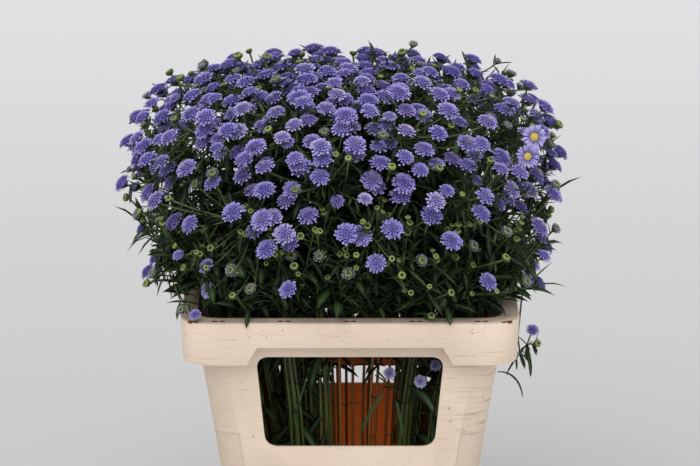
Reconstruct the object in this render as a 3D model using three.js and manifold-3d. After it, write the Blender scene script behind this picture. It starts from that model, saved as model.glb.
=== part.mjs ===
// A moulded trade container packed with cut sprays of double asters, stems in water.
// Millimetres, +Z up, front facing -Y, origin at the centre of the container's underside.

import * as THREE from 'three';
import { mergeVertices } from 'three/addons/utils/BufferGeometryUtils.js';
import Module from 'manifold-3d';

const wasm = await Module();
wasm.setup();

// Driving dimensions of the container
const HEIGHT = 407;
const RIM_HALF_X = 200;
const RIM_HALF_Y = 150;
const RIM_CORNER = 38;
const WALL = 3;
const BASE_HALF_X = 128;
const BODY_TOP_HALF_X = 185;
const SIDE_TO_FRONT = 50;
const LEDGE_Z = 258;
const LEDGE_STEP = 2;
const SKIRT_TALL = 53;
const SKIRT_SHORT = 31;
const NOTCH_HALF_TOP = 109;
const NOTCH_HALF_BOTTOM = 122;
const NOTCH_REACH = 12;
const WINDOW_BOTTOM = 240;
const REAR_WINDOW_BOTTOM = 247;
const WINDOW_TOP = 358;
const WINDOW_HALF_BOTTOM = 100.5;
const WINDOW_HALF_TOP = 111;
const WINDOW_CORNER = 16;
const BAR_BOTTOM = 269;
const BAR_TOP = 282;
const SLOT_PITCH = 77;
const SLOT_LENGTH = 6.5;
const SLOT_GAP = 2.5;
const SLOT_WIDTH = 5;
const BODY_LEDGE_HALF_X = 163;
const BODY_CORNER = 30;
const CORNER_PANEL = 31;
const SKIRT_LEAN = 2.3;
const RIM_EDGE = 1.5;
const SLOT_INSET = 7;
const SLOT_CORNER = 8;
const WALL_REACH = 60;
const WATER_DEPTH = 105;
const OVERSHOOT = 1;

// Driving dimensions of the flower mass
const DOME_X = -6;
const DOME_Z = 552;
const DOME_HALF_X = 250;
const DOME_HALF_Y = 186;
const DOME_UP = 126;
const DOME_DOWN = 225;
const DOME_POWER = 3.4;
const LOWEST_COSINE = -0.47;
const SPRAYS = 28;
const BLOOMS = 256;
const BUDS = 42;
const TUFT_RADIUS = 9;
const STEM_RADII = [3.4, 3.4, 3.2, 3, TUFT_RADIUS, TUFT_RADIUS * 0.6, 2.6];
const STEM_SIDES = 4;
const HOLE_RADIUS = 4;
const STAND_HALF_X = 104;
const STAND_HALF_Y = 58;
const UPRIGHT_TO = 125;
const WAIST_Z = 270;
const WAIST_OUT_X = 1.16;
const WAIST_OUT_Y = 1.2;
const NECK_Z = 390;
const NECK_OUT_X = 1.4;
const NECK_OUT_Y = 1.46;
const FOOT_SHARE = 0.42;
const FOOT_SPREAD = 0.22;
const FOOT_DROP = 45;
const AXIS_SHARE = 0.9;
const AXIS_RADIUS = 3.2;
const AXIS_TOP_RADIUS = 2.4;
const AXIS_SIDES = 4;
const COLLAR = 6;
const PEDICEL_RADIUS = 1;
const BRANCH_LEAN = 0.6;
const ROOT_PITCH = 4.5;
const PETALS = 5;
const SMALL_PETALS = 4;
const LARGE_BLOOM = 15.6;
const PETAL_NOTCH = 0.3;
const PETAL_LIFT = 0.1;
const STRAY_SHARE = 0.04;
const DEEPEST = 0.16;
const LOW_SHARE = 0.14;
const LEVEL_SHARE = 0.9;
const SHARE_SLOPE = 1.5;
const LOWEST_BLOOM = 426;
const WIDEST_SPACING = 60;
const FACE_UP = 1;
const FACE_WOBBLE = 0.22;
const SMALL_SHARE = 0.2;
const BLOOM_THICKNESS = 0.42;
const LEAVES = 4;
const LEAF_TRIES = 14;
const KEEL = 1.8;
const LOWEST_LEAF_TIP = 412;
const LOW_LEAF_REACH_X = 118;
const LOW_LEAF_REACH_Y = 70;
const LOW_LEAVES = 1;
const ROOT_FREE = 6;
const WINDOW_CLEAR_Y = -92;
const CHOICES = 24;
const CLEAR = 0.35;
const SEED = 20261;

const TURN = Math.PI * 2;
const vec = (x, y, z) => new THREE.Vector3(x, y, z);

// Seeded draws
let state = SEED;
function draw() {
  state = (state + 0x6d2b79f5) >>> 0;
  let t = Math.imul(state ^ (state >>> 15), state | 1);
  t = (t + Math.imul(t ^ (t >>> 7), t | 61)) ^ t;
  return ((t ^ (t >>> 14)) >>> 0) / 4294967296;
}
const between = (low, high) => low + (high - low) * draw();

// Closed meshes become solids for joining and cutting
function solid(geometry) {
  let bare = geometry.index ? geometry.toNonIndexed() : geometry.clone();
  for (const name of Object.keys(bare.attributes)) {
    if (name !== 'position') bare.deleteAttribute(name);
  }
  bare = mergeVertices(bare, 1e-4);
  return new wasm.Manifold(new wasm.Mesh({
    numProp: 3,
    vertProperties: new Float32Array(bare.getAttribute('position').array),
    triVerts: new Uint32Array(bare.index.array),
  }));
}

function geometryOf(body) {
  const mesh = body.getMesh();
  const geometry = new THREE.BufferGeometry();
  geometry.setAttribute('position', new THREE.BufferAttribute(new Float32Array(mesh.vertProperties), 3));
  geometry.setIndex(new THREE.BufferAttribute(new Uint32Array(mesh.triVerts), 1));
  return geometry;
}

// Joined pieces, with any sealed hollow filled and any loose scrap dropped
function fuse(bodies) {
  const whole = bodies.reduce((sum, body) => sum.add(body));
  return whole.decompose().reduce((most, body) => (body.volume() > most.volume() ? body : most));
}

// Two rings of any counts are joined by walking round both at the same rate
function bridge(faces, lower, lowerCount, upper, upperCount) {
  let i = 0;
  let j = 0;
  const lowerSteps = lowerCount === 1 ? 0 : lowerCount;
  const upperSteps = upperCount === 1 ? 0 : upperCount;
  while (i < lowerSteps || j < upperSteps) {
    const a = lower + (i % lowerCount);
    const b = upper + (j % upperCount);
    if (j >= upperSteps || (i < lowerSteps && (i + 1) * upperSteps <= (j + 1) * lowerSteps)) {
      i += 1;
      faces.push(a, lower + (i % lowerCount), b);
    } else {
      j += 1;
      faces.push(a, upper + (j % upperCount), b);
    }
  }
}

// Rings of points joined in order and closed at both ends; a ring of one point is a tip
function skin(rings) {
  const points = rings.flat();
  const faces = [];
  let start = 0;
  for (let level = 0; level + 1 < rings.length; level++) {
    const next = start + rings[level].length;
    bridge(faces, start, rings[level].length, next, rings[level + 1].length);
    start = next;
  }
  for (let i = 1; i + 1 < rings[0].length; i++) faces.push(0, i + 1, i);
  for (let i = start + 1; i + 1 < points.length; i++) faces.push(start, i, i + 1);
  const geometry = new THREE.BufferGeometry().setFromPoints(points);
  geometry.setIndex(faces);
  return geometry;
}

// An outline with every corner turned into an arc
function rounded(corners, radius, steps) {
  const outline = [];
  corners.forEach(([x, y], i) => {
    const corner = new THREE.Vector2(x, y);
    const before = new THREE.Vector2(...corners[(i + corners.length - 1) % corners.length]).sub(corner);
    const after = new THREE.Vector2(...corners[(i + 1) % corners.length]).sub(corner);
    const half = Math.abs(before.angleTo(after)) / 2;
    const reach = radius / Math.tan(half);
    const start = corner.clone().add(before.setLength(reach));
    const end = corner.clone().add(after.setLength(reach));
    const arc = new THREE.QuadraticBezierCurve(start, corner, end);
    outline.push(...arc.getPoints(steps));
  });
  return outline;
}

const CORNER_STEPS = 3;
function level(halfX, halfY, corner, z) {
  const corners = [[halfX, -halfY], [halfX, halfY], [-halfX, halfY], [-halfX, -halfY]];
  return rounded(corners, corner, CORNER_STEPS).map((p) => vec(p.x, p.y, z));
}

// A stalk through given points, its rings turned as little as possible from one to the next
function stalk(points, radii, sides) {
  const rings = [];
  let side = vec(1, 0, 0);
  points.forEach((point, i) => {
    const before = points[Math.max(i - 1, 0)];
    const after = points[Math.min(i + 1, points.length - 1)];
    const along = after.clone().sub(before).normalize();
    if (Math.abs(side.dot(along)) > 0.95) side = vec(0, 1, 0);
    side.addScaledVector(along, -side.dot(along)).normalize();
    const across = along.clone().cross(side);
    rings.push(ringAt(point, side, across, radii[i], sides));
    side = side.clone();
  });
  return solid(skin(rings));
}

function ringAt(centre, u, v, radius, sides) {
  const ring = [];
  for (let i = 0; i < sides; i++) {
    const angle = (TURN * i) / sides;
    const point = centre.clone().addScaledVector(u, radius * Math.cos(angle));
    ring.push(point.addScaledVector(v, radius * Math.sin(angle)));
  }
  return ring;
}

// Container
const bodyHalfX = (z) => {
  const ledge = BODY_LEDGE_HALF_X;
  if (z <= LEDGE_Z) return THREE.MathUtils.mapLinear(z, 0, LEDGE_Z, BASE_HALF_X, ledge);
  return THREE.MathUtils.mapLinear(z, LEDGE_Z, HEIGHT, ledge, BODY_TOP_HALF_X);
};

function shell(inset, sideInset, frontInset, zs, corner) {
  return solid(skin(zs.map((z) => {
    const halfX = bodyHalfX(z) - inset;
    return level(halfX - sideInset, halfX - SIDE_TO_FRONT - frontInset, corner, z);
  })));
}

function windowCut(bottom, top, corner, yNear, yFar) {
  const lean = (WINDOW_HALF_TOP - WINDOW_HALF_BOTTOM) / (WINDOW_TOP - WINDOW_BOTTOM);
  const halfAt = (z) => WINDOW_HALF_BOTTOM + (z - WINDOW_BOTTOM) * lean;
  const right = [[halfAt(bottom), bottom], [halfAt(top), top]];
  const left = [[-halfAt(top), top], [-halfAt(bottom), bottom]];
  const outline = rounded([...right, ...left], corner, CORNER_STEPS);
  return solid(skin([yFar, yNear].map((y) => outline.map((p) => vec(p.x, y, p.y)))));
}

function container() {
  const top = HEIGHT - WALL;
  const skirtBottom = HEIGHT - SKIRT_TALL;
  const skirt = solid(skin([
    level(RIM_HALF_X - SKIRT_LEAN, RIM_HALF_Y - SKIRT_LEAN, RIM_CORNER, skirtBottom),
    level(RIM_HALF_X, RIM_HALF_Y, RIM_CORNER, HEIGHT - RIM_EDGE),
    level(RIM_HALF_X - RIM_EDGE, RIM_HALF_Y - RIM_EDGE, RIM_CORNER, HEIGHT),
  ]));
  const inner = SKIRT_LEAN + WALL;
  const channel = solid(skin([
    level(RIM_HALF_X - inner, RIM_HALF_Y - inner, RIM_CORNER - WALL, skirtBottom - OVERSHOOT),
    level(RIM_HALF_X - WALL, RIM_HALF_Y - WALL, RIM_CORNER - WALL, top),
  ]));
  let body = skirt.subtract(channel);
  for (const y of [-RIM_HALF_Y, RIM_HALF_Y]) {
    const reach = Math.sign(y) * NOTCH_REACH;
    const notch = [
      [NOTCH_HALF_BOTTOM, skirtBottom - OVERSHOOT],
      [NOTCH_HALF_TOP, HEIGHT - SKIRT_SHORT],
      [-NOTCH_HALF_TOP, HEIGHT - SKIRT_SHORT],
      [-NOTCH_HALF_BOTTOM, skirtBottom - OVERSHOOT],
    ];
    const near = Math.min(y - reach, y + reach);
    const far = Math.max(y - reach, y + reach);
    body = body.subtract(solid(skin([far, near].map((at) => notch.map(([x, z]) => vec(x, at, z))))));
  }
  const below = [0, LEDGE_Z];
  body = fuse([
    body,
    shell(0, 0, 0, [LEDGE_Z, HEIGHT - OVERSHOOT], BODY_CORNER),
    shell(LEDGE_STEP, 0, 0, [0, LEDGE_Z + OVERSHOOT], BODY_CORNER),
    shell(0, CORNER_PANEL, 0, below, 1),
    shell(0, 0, CORNER_PANEL, below, 1),
  ]);
  body = body.subtract(shell(WALL + LEDGE_STEP, 0, 0, [WALL, HEIGHT + OVERSHOOT], BODY_CORNER - WALL));
  body = body.subtract(windowCut(WINDOW_BOTTOM, WINDOW_TOP, WINDOW_CORNER, -RIM_HALF_Y, -WALL_REACH));
  body = body.subtract(windowCut(REAR_WINDOW_BOTTOM, BAR_BOTTOM, SLOT_CORNER, WALL_REACH, RIM_HALF_Y));
  body = body.subtract(windowCut(BAR_TOP, WINDOW_TOP, WINDOW_CORNER, WALL_REACH, RIM_HALF_Y));
  const slots = [];
  for (const y of [-RIM_HALF_Y + SLOT_INSET, RIM_HALF_Y - SLOT_INSET]) {
    for (let pair = -2; pair <= 2; pair++) {
      for (const side of [-1, 1]) {
        const slot = new THREE.BoxGeometry(SLOT_LENGTH, SLOT_WIDTH, WALL * 3);
        slot.translate(pair * SLOT_PITCH + (side * (SLOT_LENGTH + SLOT_GAP)) / 2, y, HEIGHT);
        slots.push(solid(slot));
      }
    }
  }
  return slots.reduce((left, slot) => left.subtract(slot), body);
}

// Places in the flower mass: a rounded dome that swells out over the rim
const DOME_CENTRE = vec(DOME_X, 0, DOME_Z);

function onDome(direction) {
  const parts = [
    Math.abs(direction.x / DOME_HALF_X) ** DOME_POWER,
    Math.abs(direction.y / DOME_HALF_Y) ** DOME_POWER,
    Math.abs(direction.z / (direction.z > 0 ? DOME_UP : DOME_DOWN)) ** DOME_POWER,
  ];
  return direction.clone().multiplyScalar((parts[0] + parts[1] + parts[2]) ** (-1 / DOME_POWER));
}

function directionOf(cosine, turn) {
  const sine = Math.sqrt(1 - cosine * cosine);
  return vec(sine * Math.cos(turn), sine * Math.sin(turn), cosine);
}

// What has been placed so far: rods have two ends and a radius, discs a centre, a normal and two radii
const placed = [];

function nearestOnRod(rod, point) {
  const along = rod.b.clone().sub(rod.a);
  const t = THREE.MathUtils.clamp(point.clone().sub(rod.a).dot(along) / along.lengthSq(), 0, 1);
  return rod.a.clone().addScaledVector(along, t);
}

function rodGap(p, q) {
  const u = p.b.clone().sub(p.a);
  const v = q.b.clone().sub(q.a);
  const w = p.a.clone().sub(q.a);
  const uu = u.dot(u);
  const uv = u.dot(v);
  const vv = v.dot(v);
  const uw = u.dot(w);
  const vw = v.dot(w);
  const flat = uu * vv - uv * uv;
  let s = flat < 1e-9 ? 0 : THREE.MathUtils.clamp((uv * vw - vv * uw) / flat, 0, 1);
  const t = THREE.MathUtils.clamp((uv * s + vw) / vv, 0, 1);
  s = THREE.MathUtils.clamp((uv * t - uw) / uu, 0, 1);
  const onP = p.a.clone().addScaledVector(u, s);
  const onQ = q.a.clone().addScaledVector(v, t);
  return onP.distanceTo(onQ) - p.radius - q.radius;
}

// How far a disc reaches along a direction
function reachOf(disc, direction) {
  const axial = disc.normal.dot(direction);
  return Math.sqrt((disc.thick * axial) ** 2 + disc.radius ** 2 * Math.max(0, 1 - axial * axial));
}

function discGap(p, q) {
  const apart = q.centre.clone().sub(p.centre);
  const tries = [p.normal, q.normal, apart.clone().normalize()];
  return Math.max(...tries.map((d) => Math.abs(apart.dot(d)) - reachOf(p, d) - reachOf(q, d)));
}

function rodDiscGap(rod, disc) {
  const near = nearestOnRod(rod, disc.centre).sub(disc.centre);
  const flat = near.clone().addScaledVector(disc.normal, -near.dot(disc.normal));
  const tries = [disc.normal.clone(), near.normalize(), flat.normalize()];
  return Math.max(...tries.map((d) => {
    const a = rod.a.clone().sub(disc.centre).dot(d);
    const b = rod.b.clone().sub(disc.centre).dot(d);
    const beyond = Math.max(Math.min(a, b), Math.min(-a, -b));
    return beyond - rod.radius - reachOf(disc, d);
  }));
}

function gapOf(p, q) {
  if (p.centre && q.centre) return discGap(p, q);
  if (p.centre) return rodDiscGap(q, p);
  if (q.centre) return rodDiscGap(p, q);
  return rodGap(p, q);
}

function withBall(piece) {
  piece.middle = piece.centre ? piece.centre : piece.a.clone().lerp(piece.b, 0.5);
  piece.ball = piece.centre ? piece.radius : piece.a.distanceTo(piece.b) / 2 + piece.radius;
  return piece;
}

// Pieces of one node may touch each other, but a bloom touches no other bloom
function clears(piece, spared = null) {
  withBall(piece);
  return placed.every((other) => {
    if (other === spared) return true;
    if (other.node === piece.node && other.trunk) return true;
    const reach = piece.ball + other.ball + CLEAR;
    if (piece.middle.distanceToSquared(other.middle) > reach * reach) return true;
    return gapOf(piece, other) >= CLEAR;
  });
}

// Sprays stand in the sunflower pattern: one cut stem each, upright in the water, then leaning outward
const GOLDEN_TURN = TURN * 0.381966;
const sprays = [];
for (let k = 0; k < SPRAYS; k++) {
  const share = (k + 0.5) / SPRAYS;
  const turn = GOLDEN_TURN * k;
  const direction = directionOf(1 - (1 - LOWEST_COSINE) * share, turn);
  const tip = onDome(direction);
  const out = Math.sqrt(share);
  const foot = DOME_CENTRE.clone().addScaledVector(tip, FOOT_SHARE + FOOT_SPREAD * share);
  foot.z -= FOOT_DROP * share;
  const baseX = STAND_HALF_X * out * Math.cos(turn);
  const baseY = STAND_HALF_Y * out * Math.sin(turn);
  const path = [
    vec(baseX, baseY, WALL + CLEAR),
    vec(baseX, baseY, UPRIGHT_TO),
    vec(baseX * WAIST_OUT_X, baseY * WAIST_OUT_Y, WAIST_Z),
    vec(baseX * NECK_OUT_X, baseY * NECK_OUT_Y, NECK_Z),
  ];
  path.push(path[3].clone().lerp(foot, 0.45), path[3].clone().lerp(foot, 0.85), foot);
  const number = String(k + 1).padStart(2, '0');
  const spray = { green: `aster_stem_${number}`, purple: `aster_head_${number}`, path };
  for (const list of ['bloomRoots', 'budRoots', 'blooms', 'buds', 'leaves']) spray[list] = [];
  spray.anchor = DOME_CENTRE.clone().add(tip);
  spray.top = DOME_CENTRE.clone().addScaledVector(tip, AXIS_SHARE);
  const rise = foot.clone().sub(path[3]).normalize();
  spray.start = foot.clone().addScaledVector(rise, CLEAR);
  spray.bend = foot.clone().addScaledVector(rise, COLLAR);
  for (let i = 0; i + 1 < path.length; i++) {
    const radius = Math.max(STEM_RADII[i], STEM_RADII[i + 1]);
    placed.push(withBall({ node: spray.green, a: path[i], b: path[i + 1], radius, trunk: true }));
  }
  const axis = { node: spray.purple, a: spray.bend, b: spray.top, radius: AXIS_RADIUS, trunk: true };
  placed.push(withBall(axis));
  sprays.push(spray);
}

function sprayNear(point) {
  let best = sprays[0];
  for (const spray of sprays) {
    if (spray.anchor.distanceToSquared(point) < best.anchor.distanceToSquared(point)) best = spray;
  }
  return best;
}

// A side branch leaves its axis forwards, from the free place nearest to where it would like to start
function rootOn(a, b, tip, taken) {
  const axis = b.clone().sub(a);
  const length = axis.length();
  axis.divideScalar(length);
  const along = tip.clone().sub(a).dot(axis);
  const off = tip.clone().sub(a).addScaledVector(axis, -along).length();
  const wish = along - off * BRANCH_LEAN;
  let best = null;
  for (let at = ROOT_PITCH; at < length - ROOT_PITCH / 2; at += ROOT_PITCH) {
    if (taken.includes(at)) continue;
    if (best === null || Math.abs(at - wish) < Math.abs(best - wish)) best = at;
  }
  return best === null ? null : { at: best, point: a.clone().addScaledVector(axis, best) };
}

// A rod is tested past its first few millimetres, which stand in what carries it
function rod(node, root, end, radius) {
  const along = end.clone().sub(root);
  const skip = Math.min(ROOT_FREE / along.length(), 0.5);
  return { node, a: root.clone().addScaledVector(along, skip), b: end, radius };
}

const sites = [];
function candidates(spacing) {
  const found = [];
  while (found.length < CHOICES) {
    const direction = directionOf(between(LOWEST_COSINE, 1), between(0, TURN));
    const depth = draw();
    const lift = draw() < STRAY_SHARE ? between(1.02, 1.08) : 1 - DEEPEST * depth * depth;
    const keep = draw() < THREE.MathUtils.clamp(LEVEL_SHARE + SHARE_SLOPE * direction.z, LOW_SHARE, 1);
    const point = onDome(direction).multiplyScalar(lift).add(DOME_CENTRE);
    if (!keep || point.z < LOWEST_BLOOM) continue;
    let nearest = spacing;
    for (const site of sites) nearest = Math.min(nearest, site.distanceTo(point));
    found.push({ point, direction, nearest });
  }
  return found.sort((p, q) => q.nearest - p.nearest);
}

function faceOf(point, direction) {
  const out = direction.clone().normalize();
  const normal = out.add(vec(0, 0, FACE_UP));
  const wobble = () => between(-FACE_WOBBLE, FACE_WOBBLE);
  normal.add(vec(wobble(), wobble(), wobble()));
  return normal.normalize();
}

// Blooms
for (let i = 0; i < BLOOMS; i++) {
  const size = draw();
  const radius = size < SMALL_SHARE ? between(9.5, 11.5) : between(13.5, 17);
  const thick = radius * BLOOM_THICKNESS;
  for (const { point, direction } of candidates(WIDEST_SPACING)) {
    const spray = sprayNear(point);
    const normal = faceOf(point, direction);
    const under = point.clone().addScaledVector(normal, -thick * 0.8);
    const place = rootOn(spray.bend, spray.top, under, spray.bloomRoots);
    if (!place) continue;
    const root = place.point;
    const disc = { node: spray.purple, centre: point, normal, radius, thick };
    const pedicel = rod(spray.purple, root, under, PEDICEL_RADIUS);
    if (!clears(disc) || !clears(pedicel)) continue;
    placed.push(disc, pedicel);
    sites.push(point);
    spray.bloomRoots.push(place.at);
    spray.blooms.push({ disc, root, under });
    break;
  }
}

// Buds
for (let i = 0; i < BUDS; i++) {
  const radius = between(4, 5.4);
  for (const { point, direction } of candidates(WIDEST_SPACING)) {
    const spray = sprayNear(point);
    const normal = faceOf(point, direction);
    const under = point.clone().addScaledVector(normal, -radius * 0.7);
    const place = rootOn(spray.path[3], spray.path[5], under, spray.budRoots);
    if (!place) continue;
    const root = place.point;
    const disc = { node: spray.green, centre: point, normal, radius, thick: radius };
    const pedicel = rod(spray.green, root, under, PEDICEL_RADIUS);
    if (!clears(disc) || !clears(pedicel)) continue;
    placed.push(disc, pedicel);
    sites.push(point);
    spray.budRoots.push(place.at);
    spray.buds.push({ disc, root, under });
    break;
  }
}

// Leaves: lance shaped, keeled, arching outward from the stems
for (const spray of sprays) {
  for (let i = 0; i < LEAVES; i++) {
    for (let attempt = 0; attempt < LEAF_TRIES; attempt++) {
      const upper = i < LEAVES - LOW_LEAVES || spray.path[0].y > 0;
      const [a, b] = upper ? [spray.path[3], spray.path[5]] : [spray.path[1], spray.path[2]];
      const root = a.clone().lerp(b, upper ? between(0.1, 0.9) : between(0.4, 1));
      const length = upper ? between(52, 84) : between(30, 45);
      const turn = between(0, TURN);
      const outward = vec(Math.cos(turn), Math.sin(turn), 0);
      if (upper) outward.addScaledVector(vec(root.x, root.y * 1.3, 0).normalize(), 0.9);
      outward.z = 0;
      outward.normalize();
      const rise = upper ? between(0.2, 1.1) : between(-0.2, 0.7);
      const droop = between(0.25, 0.75);
      const first = outward.clone().setZ(rise).normalize();
      const middle = root.clone().addScaledVector(first, length * 0.5);
      const second = outward.clone().setZ(rise - droop * 1.6).normalize();
      const tip = middle.clone().addScaledVector(second, length * 0.5);
      const half = length * between(0.07, 0.09);
      const inner = rod(spray.green, root, middle, half * 0.8);
      const outer = { node: spray.green, a: middle, b: tip, radius: half };
      if (tip.z < LOWEST_LEAF_TIP && upper) continue;
      if (!upper && Math.min(middle.y, tip.y) < WINDOW_CLEAR_Y + half) continue;
      if (!upper && Math.abs(tip.y) > LOW_LEAF_REACH_Y) continue;
      if (!upper && Math.abs(tip.x) > LOW_LEAF_REACH_X) continue;
      if (!clears(inner) || !clears(outer)) continue;
      placed.push(inner, outer);
      spray.leaves.push({ root, middle, tip, outward, half });
      break;
    }
  }
}

// Shapes of the small pieces
function bloomShape({ disc, root, under }) {
  const { centre, normal, radius, thick } = disc;
  const points = radius > LARGE_BLOOM ? PETALS : SMALL_PETALS;
  const along = under.clone().sub(root).normalize();
  const side = vec(1, 0, 0).addScaledVector(normal, -normal.x).normalize();
  const across = normal.clone().cross(side);
  const rim = ringAt(centre, side, across, radius, points * 2);
  rim.forEach((point, i) => {
    if (i % 2) point.lerp(centre, PETAL_NOTCH).addScaledVector(normal, radius * PETAL_LIFT);
  });
  const stalkSide = side.clone().addScaledVector(along, -side.dot(along)).normalize();
  const stalkAcross = along.clone().cross(stalkSide);
  return solid(skin([
    ringAt(root, stalkSide, stalkAcross, PEDICEL_RADIUS, 3),
    ringAt(under, stalkSide, stalkAcross, PEDICEL_RADIUS, 3),
    rim,
    [centre.clone().addScaledVector(normal, thick)],
  ]));
}

function budShape({ disc, root, under }) {
  const { centre, normal, radius } = disc;
  const side = vec(1, 0, 0).addScaledVector(normal, -normal.x).normalize();
  const across = normal.clone().cross(side);
  const along = under.clone().sub(root).normalize();
  const stalkSide = side.clone().addScaledVector(along, -side.dot(along)).normalize();
  const stalkAcross = along.clone().cross(stalkSide);
  return solid(skin([
    ringAt(root, stalkSide, stalkAcross, PEDICEL_RADIUS, 3),
    ringAt(under, stalkSide, stalkAcross, PEDICEL_RADIUS, 3),
    ringAt(centre, side, across, radius, 4),
    [centre.clone().addScaledVector(normal, radius * 0.6)],
  ]));
}

function leafShape({ root, middle, tip, outward, half }) {
  const across = outward.clone().cross(vec(0, 0, 1)).normalize();
  const section = (at, ahead, width, keel) => {
    const under = ahead.clone().sub(at).normalize().cross(across);
    const edges = [width, -width].map((reach) => at.clone().addScaledVector(across, reach));
    return [edges[0], at.clone().addScaledVector(under, keel), edges[1]];
  };
  return solid(skin([
    section(root, middle, 1, KEEL / 2),
    section(middle, tip, half, KEEL),
    [tip],
  ]));
}

// Assembly
function piece(name, body, finish) {
  const material = new THREE.MeshStandardMaterial({ flatShading: true, ...finish });
  const mesh = new THREE.Mesh(geometryOf(body), material);
  mesh.name = name;
  return mesh;
}

const plastic = { color: '#e2cfb4', roughness: 0.55, metalness: 0 };
const waterFinish = { color: '#b9c6b4', roughness: 0.08, metalness: 0, transparent: true, opacity: 0.5 };
const greenFinish = { color: '#3f5c2c', roughness: 0.6, metalness: 0 };
const purpleFinish = { color: '#7a70cc', roughness: 0.75, metalness: 0 };

const holder = new THREE.Group();
holder.add(piece('container', container(), plastic));

const holes = sprays.map(({ path }) => stalk(
  [path[0].clone().setZ(0), path[0].clone().setZ(WATER_DEPTH + 5)], [HOLE_RADIUS, HOLE_RADIUS], STEM_SIDES));
const waterBody = shell(WALL + LEDGE_STEP + CLEAR, 0, 0, [WALL + CLEAR, WATER_DEPTH], BODY_CORNER - WALL);
holder.add(piece('water', holes.reduce((left, hole) => left.subtract(hole), waterBody), waterFinish));

for (const spray of sprays) {
  const { path } = spray;
  const stem = stalk(path, STEM_RADII, STEM_SIDES);
  const green = [stem, ...spray.buds.map(budShape), ...spray.leaves.map(leafShape)];
  holder.add(piece(spray.green, fuse(green), greenFinish));
  const axisRadii = [AXIS_RADIUS, AXIS_RADIUS, AXIS_TOP_RADIUS];
  const axis = stalk([spray.start, spray.bend, spray.top], axisRadii, AXIS_SIDES);
  holder.add(piece(spray.purple, fuse([axis, ...spray.blooms.map(bloomShape)]), purpleFinish));
}

export default holder;
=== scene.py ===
import math

import bpy
import numpy as np
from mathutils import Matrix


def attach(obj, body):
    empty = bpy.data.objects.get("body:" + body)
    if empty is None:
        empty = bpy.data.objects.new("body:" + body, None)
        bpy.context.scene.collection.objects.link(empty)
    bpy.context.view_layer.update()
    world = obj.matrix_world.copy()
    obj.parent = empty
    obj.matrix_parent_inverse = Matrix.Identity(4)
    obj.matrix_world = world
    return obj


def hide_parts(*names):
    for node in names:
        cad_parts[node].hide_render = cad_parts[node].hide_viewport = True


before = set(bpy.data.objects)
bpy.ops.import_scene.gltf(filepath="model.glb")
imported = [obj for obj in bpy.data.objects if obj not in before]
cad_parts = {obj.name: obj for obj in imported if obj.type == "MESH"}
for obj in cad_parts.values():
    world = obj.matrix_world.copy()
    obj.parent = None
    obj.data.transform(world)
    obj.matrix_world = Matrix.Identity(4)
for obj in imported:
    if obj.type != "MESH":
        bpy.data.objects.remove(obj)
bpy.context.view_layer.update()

MM = 0.001


# Floor: the pale grey studio table top that runs out of the picture on every side.
# Painted board, matt, with nothing on it.
class Value:
    """A shader socket that takes part in plain arithmetic, and the one way to add any other node"""

    def __init__(self, tree, socket=None):
        self.tree = tree
        self.socket = socket

    def node(self, kind, settings=(), sockets=(), out=0):
        made = self.tree.nodes.new(kind)
        for name, value in dict(settings).items():
            setattr(made, name, value)
        for name, value in dict(sockets).items():
            if isinstance(value, Value):
                self.tree.links.new(value.socket, made.inputs[name])
            else:
                made.inputs[name].default_value = value
        return Value(self.tree, made.outputs[out] if made.outputs else None)

    def output(self, name):
        """Another output of the same node"""
        return Value(self.tree, self.socket.node.outputs[name])

    def math(self, operation, *values):
        return self.node("ShaderNodeMath", {"operation": operation}, enumerate(values))

    def __add__(self, other):
        return self.math("ADD", self, other)

    def __radd__(self, other):
        return self.math("ADD", other, self)

    def __sub__(self, other):
        return self.math("SUBTRACT", self, other)

    def __rsub__(self, other):
        return self.math("SUBTRACT", other, self)

    def __mul__(self, other):
        return self.math("MULTIPLY", self, other)

    def __rmul__(self, other):
        return self.math("MULTIPLY", other, self)

    def ramped(self, low, high):
        """0 below low, 1 above high, and smooth between"""
        ends = {"Value": self, "From Min": low, "From Max": high}
        return self.node("ShaderNodeMapRange", {"interpolation_type": "SMOOTHSTEP"}, ends)

    def blended(self, first, second):
        """The first colour where this is 0 and the second where it is 1"""
        ends = {0: self, 6: first, 7: second}
        return self.node("ShaderNodeMix", {"data_type": "RGBA"}, ends, 2)

    def over(self, low, high, base, colour, share=1.0):
        """The colour laid over base by that share, as this rises from low to high"""
        return (self.ramped(low, high) * share).blended(base, colour)

    def place(self):
        """Where a point lies on its object, in metres"""
        return self.node("ShaderNodeTexCoord", out=3)

    def axis(self, name):
        """One part, X, Y or Z, of where a point lies"""
        return self.node("ShaderNodeSeparateXYZ", (), {0: self.place()}).output(name)

    def noise(self, place, scale, detail, roughness=0.5):
        sockets = {"Vector": place, "Scale": scale, "Detail": detail, "Roughness": roughness}
        return self.node("ShaderNodeTexNoise", (), sockets)

    def stretched(self, place, scale):
        return self.node("ShaderNodeMapping", (), {"Vector": place, "Scale": scale})

    def bump(self, height, strength, distance):
        sockets = {"Height": height, "Strength": strength, "Distance": distance}
        return self.node("ShaderNodeBump", (), sockets)


def paint(red, green, blue):
    """A screen colour from 0 to 255 as the linear colour that shaders use"""
    shares = [part / 255 for part in (red, green, blue)]
    linear = [s / 12.92 if s <= 0.04045 else ((s + 0.055) / 1.055) ** 2.4 for s in shares]
    return (*linear, 1.0)


def new_finish(name):
    material = bpy.data.materials.new(name)
    material.use_nodes = True
    material.node_tree.nodes.clear()
    return material, Value(material.node_tree)


def coat_surface(tree, sockets):
    shader = tree.node("ShaderNodeBsdfPrincipled", (), sockets)
    tree.node("ShaderNodeOutputMaterial", (), {"Surface": shader})


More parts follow.
